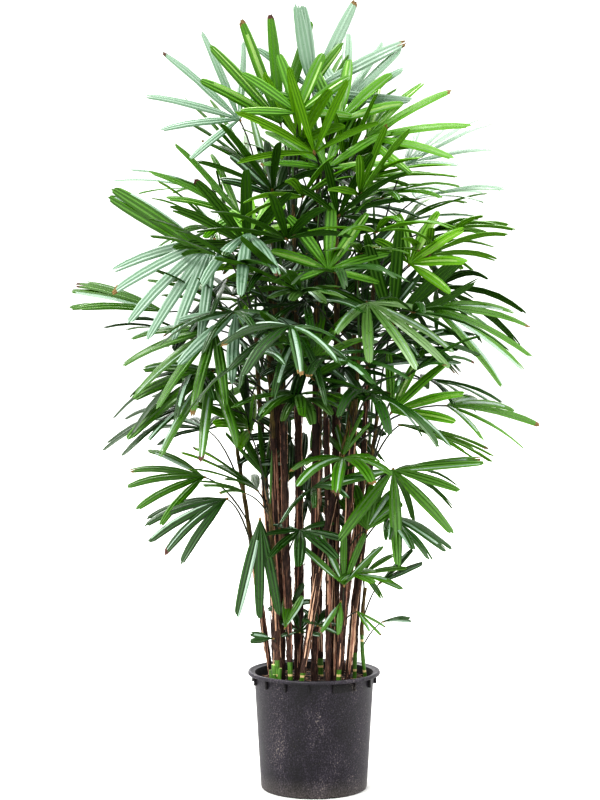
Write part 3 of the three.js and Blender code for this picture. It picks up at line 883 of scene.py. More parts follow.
CANES = (
    Cane((-100, -24), (-14, -20), 1290, 10, 5, 200),
    Cane((-82, 8), (-28, 20), 1440, 10, 6, 150),
    Cane((-112, 26), (-92, -10), 900, 7, 5, 190),
    Cane((-80, -62), (-36, -50), 1130, 8.5, 4, 225),
    Cane((-60, -96), (-22, -30), 1250, 9, 4, 262),
    Cane((-44, -34), (-10, -14), 1500, 9, 6, 170),
    Cane((-34, -112), (133, -6), 1000, 8.5, 4, 330),
    Cane((0, -66), (6, -30), 1380, 10.5, 5, 275),
    Cane((-92, -98), (-20, -24), 740, 7.5, 3, 250, 0.9),
    Cane((50, -62), (6, -4), 1500, 10.5, 6, 20),
    Cane((34, -84), (-14, -22), 1120, 8.5, 3, 245),
    Cane((60, -102), (52, -52), 1150, 8.5, 4, 300),
    Cane((84, -70), (76, -8), 960, 9, 4, 350),
    Cane((104, -26), (56, 26), 1370, 7, 5, 10),
    Cane((132, -40), (-2, -14), 520, 6, 3, 330, 0.5),
    Cane((-36, 66), (-26, 20), 1560, 10, 5, 100),
    Cane((18, 34), (-8, 4), 1580, 10, 6, 60),
    Cane((72, 62), (50, 62), 1400, 9.5, 5, 40),
    Cane((-88, 82), (-70, 70), 1200, 9, 4, 130),
    Cane((10, 112), (10, 110), 1080, 9, 4, 80),
    Cane((64, 104), (90, 60), 880, 8, 3, 40, 0.95),
)
TIER_NAMES = (("top",), ("low", "top"))


@dataclass
class CaneDress:
    """The covering of one cane: old sheaths, split laths, loose hairs and a bare ringed foot."""

    cane: Cane
    number: int
    sides: int = 14
    section: float = 6.0
    ring_pitch: float = 26.0
    ring_width: float = 4.0
    bare_foot: float = 0.0
    laths: int = 38
    hairs: int = 240

    def __post_init__(self) -> None:
        """Draw the pitch and the slant of this cane's sheaths."""
        self.draws = Draws(SHEATH_SEED + SHEATHS_APART * self.number)
        self.pitch = self.draws.between(54, 82)
        self.slant = self.draws.between(0, math.tau)
        self.offset = self.draws.between(0, 60)

    def surface(self, angle: float, z: float) -> float:
        """The radius of the covering.

        Args:
            angle: The heading, in radians.
            z: The height.

        Returns:
            The radius there: smooth between rings below, and flared at each sheath's edge above.
        """
        radius = self.cane.radius(z)
        if z < SOIL_TOP + self.bare_foot:
            return radius * (0.96 if self.on_ring(z) else 0.86)
        place = (math.cos(angle) * 2, math.sin(angle) * 2, z / 22 + self.number)
        ragged = noise.noise(Vector(place))
        margin = 9 * math.cos(angle - self.slant) + 5 * ragged
        phase = ((z + self.offset + margin) / self.pitch) % 1
        return radius * (0.86 + 0.26 * phase) + 0.9 * ragged

    def on_ring(self, z: float) -> bool:
        """Whether a height lies on one of the raised leaf scars of the bare foot."""
        return (z - SOIL_TOP) % self.ring_pitch <= self.ring_width

    def point(self, angle: float, z: float, proud: float = 0.0) -> Array:
        """A point on the covering, or proud of it."""
        spoke = self.surface(angle, z) + proud
        return self.cane.axis(z) + np.array([math.cos(angle) * spoke, math.sin(angle) * spoke, 0.0])

    def stem(self, low: float, high: float, name: str) -> tuple[Mesh, list[Finish]]:
        """The covered stem between two heights.

        Args:
            low: Its lower end.
            high: Its upper end.
            name: The mesh's name.

        Returns:
            The mesh and its finishes.
        """
        count = max(4, round((high - low) / self.section))
        heights = [mix(low, high, i / count) for i in range(count + 1)]
        profile = [(0, low), *[(10, z) for z in heights], (0, high)]
        shape = turned_profile(profile, self.sides)
        for vert in shape.verts:
            z = vert.co.z
            if math.hypot(vert.co.x, vert.co.y) > 1:
                vert.co = self.point(math.atan2(vert.co.y, vert.co.x), z)
            else:
                vert.co = self.cane.axis(z)
        for face in shape.faces:
            z = face.calc_center_median().z
            if z < SOIL_TOP + self.bare_foot:
                face.material_index = 2 if self.on_ring(z) else 1
        return settled(shape, name), [SHEATH_FIBRE, CANE_SKIN, CANE_RING]

    def add_lath(self, sheaf: Sheaf, low: float, high: float) -> None:
        """Add a split strip of sheath that lies on the stem, with its top end standing off.

        Args:
            sheaf: The strips and hairs of this cane.
            low: The lowest height at which it may start.
            high: The height at which the strips end.
        """
        draws = self.draws
        length = draws.between(50, 190)
        start = draws.between(low, max(low + 1, high - length * 0.6))
        angle = draws.between(0, math.tau)
        drift = draws.between(-0.5, 0.5)
        width = draws.between(2.4, 8.0)
        lift = draws.between(0, 6) if draws.chance() < 0.6 else 1.0
        shares = np.linspace(0, 1, 7)
        heights = start + length * shares
        turns = angle + drift * shares
        heights = np.minimum(heights, self.cane.height - 2)
        stands = 0.7 + lift * shares**2
        middles = np.array([self.point(*place) for place in zip(turns, heights, stands)])
        outs = np.stack([np.cos(turns), np.sin(turns), 0 * turns], -1)
        sides = np.cross(UP, outs)
        wide = width / 2 * np.array([0.5, 0.9, 1, 0.95, 0.85, 0.6, 0.25])
        ageing = mix(1.5, 0.6, min(1.0, (start - SOIL_TOP) / 520))
        finish = LATHS[int(draws.chance() ** ageing * len(LATHS))]
        points, faces = tube(middles, sides, outs, wide, np.full(7, 0.6), 4)
        sheaf.add(points, faces, sheaf.slot(finish))

    def add_hair(self, sheaf: Sheaf, low: float, high: float) -> None:
        """Add one loose fibre that stands out of the covering.

        Args:
            sheaf: The strips and hairs of this cane.
            low: The lowest height at which it may grow.
            high: The highest.
        """
        draws = self.draws
        z = draws.between(low, high)
        angle = draws.between(0, math.tau)
        root = self.point(angle, z, -0.6)
        away = heading(math.degrees(angle) + draws.between(-50, 50))
        tip = root + away * draws.between(3, 9) + UP * draws.between(3, 16)
        ring = [root + heading(math.degrees(angle) + turn, 0.8) for turn in (0, 120, 240)]
        faces = np.array([[0, 1, 3], [1, 2, 3], [2, 0, 3], [0, 2, 1]])
        sheaf.add(np.array([*ring, tip]), faces, sheaf.slot(HAIR_FIBRE))

    def build(self) -> Piece:
        """Build the length of the cane below its fronds.

        Returns:
            The piece.
        """
        low, high = SOIL_TOP - 6, self.cane.bare_top()
        name = f"cane_covering_{self.number:02d}"
        mesh, finishes = self.stem(low, high, name)
        stem = finished(mesh, name, finishes)
        sheaf = Sheaf()
        covered = SOIL_TOP + self.bare_foot + 4
        share = (high - covered) / 700
        for _ in range(round(self.laths * share)):
            self.add_lath(sheaf, covered, high - 10)
        for _ in range(round(self.hairs * share)):
            self.add_hair(sheaf, covered, high)
        if sheaf.count:
            stem = merged(stem, sheaf.piece(name + "_strips"))
        return placed(stem, "cane", f"cane_{self.number:02d}")


def merged(kept: Piece, added: Piece) -> Piece:
    """Join a second object's mesh and materials into the first."""
    with bpy.context.temp_override(
        active_object=kept, object=kept, selected_editable_objects=[kept, added]
    ):
        bpy.ops.object.join()
    return kept


# ---- Fronds --------------------------------------------------------------------------------------


@dataclass(frozen=True)
class Age:
    """What a frond is like at one end of its life."""

    reach: float
    rise: float
    pitch: float
    spread: float
    droop: float
    cover: float


YOUNG = Age(62, 225, 68, 135, 0.16, 0.35)
OLD = Age(262, 74, -20, 232, 0.8, 0.95)
FROND_LENGTH = 246.0
FROND_WIDTH = 34.0
MEAN_WIDTH = 33.3
HUB_RADIUS = 13.0
HUB_HALF = 2.2
RIDGE = 2.8
OUTWARD = 0.9
SPIRAL = 137.5

# How far out the crown reaches at each height.
CROWN_HEIGHTS = (480, 650, 900, 1100, 1450, 1700, 1850, 1960, 2030)
CROWN_REACHES = (210, 350, 500, 560, 550, 440, 380, 250, 90)
CROWN = tuple(zip(CROWN_HEIGHTS, CROWN_REACHES))

# What the solids were let try where a frond or a leaflet would have met another: a turn in degrees,
# and for a leaflet a swing in degrees and more droop.
FROND_TRIES = (0, 14, -14, 28, -28, 42, -42, 63, -63, 90, -90, 130, -130, 180)
LEAFLET_TRIES = ((0, 0), (0, 0.25), (0, -0.25), (9, 0), (-9, 0), (0, 0.5), (13, 0.2), (-13, 0.2))
FOUND_WITHIN = 0.3

# How wide a leaflet is beside its greatest width, at places from its root to its tip.
WIDTH_PLACES = (-0.1, 0.0, 0.1, 0.2, 0.3, 0.42, 0.55, 0.7, 0.82, 0.92, 1.0)
WIDTH_SHARES = (0.14, 0.28, 0.58, 0.82, 0.94, 1.0, 1.0, 0.94, 0.82, 0.66, 0.4)

# The rows and columns of points of its upper side. The pleats run between the columns.
BLADE_ROWS = np.array([0, 0.09, 0.21, 0.36, 0.53, 0.69, 0.84, 0.955, 1.0])
BLADE_COLUMNS = 7
BLADE_SIDE = (len(BLADE_ROWS) - 1, BLADE_COLUMNS - 1)
BLADE_HALF_THICKNESS = 0.25
PLEAT = 0.032
BLADE_FACES = grid_faces(len(BLADE_ROWS), BLADE_COLUMNS)

# How many of all leaflets are torn, have a streak of painted sheen or a brown tip, and how many tips
# are dried: the other brown tips are scorched.
TORN, SHEEN_STREAKED, BROWN_TIPPED, DRIED = 0.22, 0.4, 0.12, 0.07

# The small fronds between those of the rule: how far they are turned, how far apart the hubs stay,
# what share of the way out they stand, and what share of the crown's reach they may cover.
BETWEEN_TURN = 60.0
BETWEEN_GAP = 76.0
BETWEEN_REACH = 0.6
BETWEEN_COVER = 0.7


@dataclass
class Leaflet:
    """One leaflet: its root, its directions, its size and how it hangs."""

    start: Array
    direction: Array
    side: Array
    twist: float
    length: float
    width: float
    droop: float
    fullness: float

    @property
    def run(self) -> float:
        """How far it runs beyond the hub's edge."""
        return self.length / (1 + 0.22 * self.droop)

    def at(self, share: Array) -> tuple[Array, Array, Array]:
        """The middle, and the directions across and out, at shares of the length.

        Args:
            share: Shares of the length, 0 at the hub's edge, in any shape.

        Returns:
            Three arrays with one vector for each share.
        """
        bend = np.clip(share, 0, None)[..., None]
        share = np.asarray(share)[..., None]
        middle = self.start + self.direction * (HUB_RADIUS + self.run * share)
        middle = middle - UP * (self.droop * self.run * (0.25 * bend**2 + 0.25 * bend**3))
        tangent = unit(self.direction - UP * (self.droop * (0.5 * bend + 0.75 * bend**2)))
        across = unit(self.side - tangent * (tangent @ self.side)[..., None])
        turn = np.radians(self.twist * share)
        across = across * np.cos(turn) + np.cross(tangent, across) * np.sin(turn)
        return middle, across, np.cross(tangent, across)

    def tip_corners(self) -> list[Array]:
        """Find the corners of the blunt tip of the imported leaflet.

        Returns:
            The left one and the right one.
        """
        middle, across, _ = self.at(np.array(1.0))
        half = self.width * 0.42 / 2
        return [middle - across * half, middle + across * half]

    def blade(self, draws: Draws) -> Array:
        """The points of the pleated, toothed leaflet.

        Args:
            draws: The chances of its teeth, its tear and its waves.

        Returns:
            The points of its upper side and then of its underside, one a row.
        """
        columns = np.linspace(-1, 1, BLADE_COLUMNS)
        root = (1.5 - HUB_RADIUS) / self.run
        cut = 0.03 * np.abs(columns) ** 2 + draws.between(-0.02, 0.02) * columns
        cut = cut + np.array([draws.between(0, 0.035) for _ in columns])
        if draws.chance() < TORN:
            cut[2 + int(draws.chance() * 3)] += draws.between(0.06, 0.14)
        share, column = np.meshgrid(BLADE_ROWS, columns, indexing="ij")
        near_tip = np.clip((share - 0.7) / 0.3, 0, 1) ** 2
        share = root + (1 - root) * share - cut * near_tip
        middle, across, out = self.at(share)
        profile = np.interp(share, WIDTH_PLACES, WIDTH_SHARES)
        half = self.width * self.fullness / 2 * profile
        sway = draws.between(-0.045, 0.045) * self.run * np.clip(share, 0, 1) ** 2
        pleat = np.where(np.arange(BLADE_COLUMNS) % 2, 1.0, -1.0) * PLEAT * self.width
        arch = RIDGE * (1 - column**2) * np.clip(1.25 - 0.6 * share, 0, 1.2)
        ripple = draws.between(0.2, 1.2) * np.sin(share * draws.between(7, 13) + column * 1.2)
        lift = arch + pleat * np.clip(profile, 0.3, 1) + ripple * profile
        surface = middle + across * (column * half + sway)[..., None] + out * lift[..., None]
        skin = out * BLADE_HALF_THICKNESS
        return np.concatenate([(surface + skin).reshape(-1, 3), (surface - skin).reshape(-1, 3)])


@dataclass
class Frond:
    """One frond: where its stalk leaves the cane, its hub, and how its blade is set."""

    origin: Array
    hub: Array
    away: Array
    length: float
    pitch: float
    roll: float
    spread: float
    droop: float
    width: float
    count: int
    seed: int
    tint: Tint = Tint.FULL
    fullness: float = 0.78

    LIFT = 0.16

    def __post_init__(self) -> None:
        """Work out the directions of the blade."""
        angle = math.radians(self.pitch)
        self.forward = self.away * math.cos(angle) + UP * math.sin(angle)
        self.across = turned_about(np.cross(UP, self.away), self.forward, self.roll)
        self.normal = np.cross(self.forward, self.across)

    def marks(self) -> list[Array]:
        """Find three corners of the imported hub.

        Returns:
            Its crown and the two ends of its edge.
        """
        corners = [self.hub + self.normal * HUB_HALF]
        for part in (-0.5, 0.5):
            angle = math.radians(self.spread * part)
            spoke = self.forward * math.cos(angle) + self.across * math.sin(angle)
            corners.append(self.hub + spoke * HUB_RADIUS)
        return corners

    def leaflet(self, index: int, swing: float = 0.0, extra_droop: float = 0.0) -> Leaflet:
        """One of the frond's leaflets, swung and drooped beyond its rule.

        Args:
            index: Which leaflet, from one side of the blade to the other.
            swing: How far it is swung within the blade, in degrees.
            extra_droop: How much more it sags.

        Returns:
            The leaflet.
        """
        draws = Draws(LEAFLET_SEED + self.seed * LEAFLETS_APART + index)
        _, swung, lifted, longer, twisted = (draws.chance() for _ in range(5))
        angle = self.spread * ((index + 0.5) / self.count - 0.5)
        yaw = math.radians(angle + swing + 7 * (swung - 0.5))
        middle = math.cos(math.radians(angle))
        direction = self.forward * math.cos(yaw) + self.across * math.sin(yaw)
        direction = unit(direction + self.normal * (self.LIFT + 0.16 * (lifted - 0.5)))
        return Leaflet(
            start=self.hub,
            direction=direction,
            side=self.across * math.cos(yaw) - self.forward * math.sin(yaw),
            twist=50 * (twisted - 0.5),
            length=self.length * mix(0.7, 1, middle) * varied(0.16, longer),
            width=self.width * mix(0.74, 1, middle),
            droop=self.droop + extra_droop,
            fullness=self.fullness,
        )

    def petiole(self, shares: Array) -> Array:
        """Points along the arching stalk.

        Args:
            shares: Shares of its length from the cane.

        Returns:
            The points, one a row.
        """
        span = float(np.linalg.norm(self.hub - self.origin))
        control = (self.origin + self.hub) / 2 + UP * (0.26 * span)
        t = shares[:, None]
        return (1 - t) ** 2 * self.origin + 2 * t * (1 - t) * control + t**2 * self.hub


@dataclass(frozen=True)
class Posed:
    """A frond set out one by one. Rank -1 stands for one beside the rule, on the nearest cane."""

    cane: int
    rank: int
    hub: tuple[float, float, float]
    away: float
    pitch: float
    roll: float
    spread: float
    count: int
    length: float
    droop: float
    tint: Tint
    width: float = FROND_WIDTH

    def frond(self, turn: float, seed: int, origin: Array) -> Frond:
        """The frond, stood back and turned a little by a further try.

        Args:
            turn: How far the try moves it, in millimetres.
            seed: The number that its chances start from.
            origin: Where its stalk leaves the cane.

        Returns:
            The frond.
        """
        x, y, z = self.hub
        return Frond(
            origin,
            np.array([x, y + turn, z], float),
            heading(self.away + turn / 3),
            self.length,
            self.pitch,
            self.roll,
            self.spread,
            self.droop,
            self.width,
            self.count,
            seed,
            self.tint,
            0.92,
        )


# Fronds that make the clump's outline. A row says which cane and rank, where the hub is, the
# heading, pitch, roll and spread in degrees, how many leaflets, their length and their droop, the
# green and, where it isn't the usual one, the width.
S, F, M, D, W, G = Tint.SPRING, Tint.FRESH, Tint.FULL, Tint.DEEP, Tint.WAXED, Tint.GREY
FACE = (
    Posed(17, 5, (-4, -40, 1800), 0, 45, 75, 225, 6, 262, 0.12, G),
    Posed(6, 5, (-87, -30, 1712), 180, 75, -70, 120, 6, 280, 0.1, F),
    Posed(2, 5, (-192, -40, 1719), 180, 38, -60, 190, 7, 270, 0.2, G, 28),
    Posed(1, 4, (-191, -20, 1475), 180, 35, -35, 180, 6, 285, 0.25, F),
    Posed(4, 3, (-254, -100, 1404), 180, -48, -65, 95, 6, 280, 0.3, G),
    Posed(5, 3, (-156, -160, 1406), 60, 60, 0, 170, 6, 130, 0.3, S),
    Posed(8, 4, (29, -120, 1580), 90, 60, 0, 200, 6, 240, 0.35, F),
    Posed(8, 1, (33, -200, 1320), 90, 70, 0, 250, 7, 195, 0.2, F),
    Posed(14, 1, (237, -150, 1339), 0, 50, 60, 200, 6, 175, 0.3, S),
    Posed(10, 5, (135, -60, 1669), 0, 15, 50, 170, 6, 262, 0.25, F),
    Posed(14, 4, (238, 40, 1612), 0, 25, 30, 130, 6, 265, 0.3, G),
    Posed(18, 3, (276, 120, 1536), 20, 10, 10, 150, 6, 250, 0.4, G),
    Posed(12, 3, (131, -190, 1239), 320, -40, 10, 170, 6, 260, 0.4, W),
    Posed(13, 1, (192, -170, 970), 0, 42, 50, 130, 5, 205, 0.25, F),
    Posed(7, 1, (339, -60, 985), 0, -15, 20, 170, 5, 245, 0.45, M),
    Posed(7, 0, (69, -230, 856), 262, -12, 0, 260, 7, 185, 0.85, M),
    Posed(13, 0, (196, -150, 825), 268, -72, 0, 196, 5, 226, 0.25, M),
    Posed(3, 3, (-158, -80, 926), 190, 30, -30, 180, 6, 190, 0.3, S),
    Posed(3, 1, (-283, -40, 802), 190, -4, -40, 110, 5, 208, 0.45, M, 27),
    Posed(3, 0, (-222, -120, 751), 192, -26, -45, 80, 5, 216, 0.45, D, 27),
    Posed(9, 0, (-136, -150, 701), 268, -84, 0, 38, 3, 228, 0.1, D, 28),
    Posed(2, 0, (-390, 40, 1230), 180, 9, -25, 66, 5, 265, 0.25, M),
    Posed(1, 1, (-250, -120, 1176), 200, -42, -45, 130, 6, 255, 0.45, M),
    Posed(4, 0, (-317, -60, 987), 190, -25, -20, 150, 6, 245, 0.4, D),
    Posed(15, 0, (177, -40, 431), 0, 6, 30, 30, 2, 66, 0.4, D, 15),
    Posed(15, 1, (169, -40, 531), 0, 34, 50, 34, 2, 112, 0.1, D, 20),
    Posed(15, 2, (127, -60, 556), 0, 5, 40, 170, 5, 105, 0.3, M, 20),
)

# Fronds that fill the clump between those, each on the cane nearest to it.
INNER = tuple(
    Posed(0, -1, *row)
    for row in (
        ((-6, -60, 1795), 180, 78, -80, 16, 2, 218, 0.08, G, 38),
        ((79, 0, 1765), 20, 55, 30, 130, 5, 225, 0.15, G),
        ((-40, -120, 1720), 90, 78, 0, 210, 6, 190, 0.2, F),
        ((60, -110, 1700), 60, 65, 20, 160, 5, 210, 0.2, F),
        ((-100, -60, 1518), 150, 60, -20, 150, 6, 200, 0.3, D),
        ((113, -90, 1557), 0, 5, 0, 120, 5, 270, 0.3, F),
        ((117, -130, 1368), 300, 0, 0, 180, 6, 180, 0.4, W),
        ((-17, -180, 1272), 270, -20, 0, 240, 6, 130, 0.4, W),
        ((-8, -150, 1095), 60, 55, 0, 150, 5, 170, 0.3, F),
        ((135, -100, 1083), 0, 16, 40, 50, 3, 250, 0.4, D),
        ((76, -140, 995), 280, 10, 0, 200, 7, 170, 0.4, D),
        ((-41, -190, 1012), 240, -10, 0, 250, 7, 190, 0.6, M),
        ((-222, -80, 1305), 200, -60, 0, 120, 5, 200, 0.2, D),
        ((-195, -170, 1216), 270, -60, 0, 200, 5, 200, 0.2, G),
        ((-257, -130, 1070), 200, -45, -50, 150, 6, 240, 0.45, M),
        ((-147, -40, 769), 170, 25, 0, 170, 6, 230, 0.3, M),
        ((-36, -120, 671), 270, -30, 0, 260, 7, 150, 0.4, D),
        ((131, -150, 676), 60, 60, 0, 120, 5, 130, 0.2, M),
        ((189, -130, 707), 330, -35, 0, 150, 6, 170, 0.4, D),
        ((73, -170, 541), 90, 75, 0, 110, 5, 150, 0.15, M, 20),
        ((88, -150, 564), 330, -10, 0, 200, 4, 110, 0.3, M),
        ((-74, -140, 430), 60, 50, 0, 60, 2, 92, 0.2, M, 25),
        ((-36, -100, 414), 90, 55, 0, 240, 6, 66, 0.3, D, 20),
        ((8, -110, 432), 90, 40, 30, 220, 6, 64, 0.4, D, 20),
        ((-60, -60, 470), 90, 60, -30, 200, 5, 80, 0.4, D, 22),
        ((66, -150, 496), 240, -60, 0, 60, 2, 75, 0.2, M, 20),
        ((-104, -130, 402), 180, 5, -70, 40, 2, 46, 0.2, D, 18),
        ((107, -120, 467), 330, -40, 0, 90, 3, 70, 0.2, M, 16),
        ((303, -60, 1236), 0, -22, 40, 90, 5, 265, 0.45, M),
        ((-286, 60, 1552), 180, 5, 0, 130, 6, 240, 0.3, G, 26),
        ((302, 20, 1437), 0, 5, 0, 120, 6, 220, 0.4, W),
        ((219, -60, 936), 350, -20, 0, 90, 6, 240, 0.35, M),
        ((53, -60, 1689), 30, 45, 0, 120, 5, 190, 0.25, F),
        ((-165, -175, 1412), 262, -40, 0, 90, 3, 225, 0.55, G),
        ((-268, -115, 1370), 180, 26, -60, 12, 2, 290, 0.05, M, 40),
        ((-36, -160, 1000), 265, -10, 0, 210, 6, 160, 0.9, W),
        ((-60, 40, 900), 180, -10, -50, 200, 6, 165, 0.4, D),
        ((-20, 60, 740), 0, -10, 40, 220, 7, 150, 0.4, D),
        ((40, 60, 950), 0, -10, 40, 220, 7, 160, 0.5, D),
        ((-30, 30, 830), 180, 30, -40, 240, 7, 150, 0.4, D),
        ((-60, 40, 1460), 90, 62, 0, 230, 7, 165, 0.35, D),
        ((50, 60, 1425), 90, 58, 10, 230, 7, 160, 0.35, D),
        ((-20, -60, 1370), 250, -50, 0, 200, 6, 150, 0.4, D),
        ((-105, 50, 1330), 90, 65, -10, 220, 7, 160, 0.3, D),
        ((10, 70, 1290), 90, 60, 0, 240, 7, 165, 0.35, D),
        ((-70, 60, 1190), 90, 62, 0, 230, 7, 150, 0.35, D),
        ((75, 50, 1180), 90, 60, 0, 230, 7, 150, 0.35, D),
        ((74, -130, 862), 50, 66, -20, 130, 6, 160, 0.25, M, 21),
        ((190, -150, 822), 0, 6, 65, 7, 2, 235, 0.05, M, 24),
        ((-22, -110, 1098), 260, -35, 0, 220, 7, 150, 0.5, D),
        ((72, -90, 1080), 290, -30, 0, 220, 7, 160, 0.5, D),
        ((-125, -60, 800), 130, 50, 0, 80, 5, 175, 0.1, M, 15),
        ((-176, -100, 764), 185, 12, 0, 120, 5, 130, 0.4, W, 15),
    )
)


def ruled_frond(cane_index: int, rank: float, turn: float, seed: int) -> Frond:
    """A frond by the general rule.

    Args:
        cane_index: Its cane's place in the table.
        rank: Its rank on the cane from the oldest, which may fall between two.
        turn: How far a further try turns it.
        seed: The number that its chances start from.

    Returns:
        The frond.
    """
    cane = CANES[cane_index]
    draws = Draws(FROND_SEED * seed)
    (_, longer, higher, further, steeper, rolled, wider, limper, broader, fuller) = (
        draws.chance() for _ in range(10)
    )
    age = 1 - rank / (cane.fronds - 1)
    origin = cane.axis(cane.frond_height(rank))
    away = heading(cane.turn + SPIRAL * rank + turn)
    away[:2] += OUTWARD * age * origin[:2] / BODY_RADIUS
    away = unit(away)
    length = FROND_LENGTH * cane.size * varied(0.24, longer)
    rise = mix(YOUNG.rise, OLD.rise, age) * cane.size * varied(0.4, higher)
    wanted = mix(YOUNG.reach, OLD.reach, age**0.8) * cane.size * varied(0.3, further)
    covered = length * mix(YOUNG.cover, OLD.cover, age)
    room = along(CROWN, origin[2] + rise) - origin @ away - covered
    reach = max(wanted * 0.45, min(wanted, room))
    return Frond(
        origin=origin,
        hub=origin + away * reach + UP * rise,
        away=away,
        length=length,
        pitch=mix(YOUNG.pitch, OLD.pitch, age**0.7) + 26 * (steeper - 0.5),
        roll=56 * (rolled - 0.5),
        spread=mix(YOUNG.spread, OLD.spread, math.sqrt(age)) + 24 * (wider - 0.5),
        droop=mix(YOUNG.droop, OLD.droop, age) + 0.2 * (limper - 0.5),
        width=MEAN_WIDTH * cane.size**0.6 * varied(0.44, broader),
        count=5 + math.floor(fuller + 0.5),
        seed=seed,
    )


class Corners:
    """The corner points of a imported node, to find where a frond of it grew."""

    def __init__(self, node: str) -> None:
        """Read a node's points, in millimetres.

        Args:
            node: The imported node's name.
        """
        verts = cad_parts[node].data.vertices
        self.tree = KDTree(len(verts))
        for vert in verts:
            self.tree.insert(vert.co / MM, vert.index)
        self.tree.balance()

    def found(self, points: Iterable[Array]) -> int:
        """How many of some points the node has."""
        return sum(self.tree.find(point)[2] < FOUND_WITHIN for point in points)


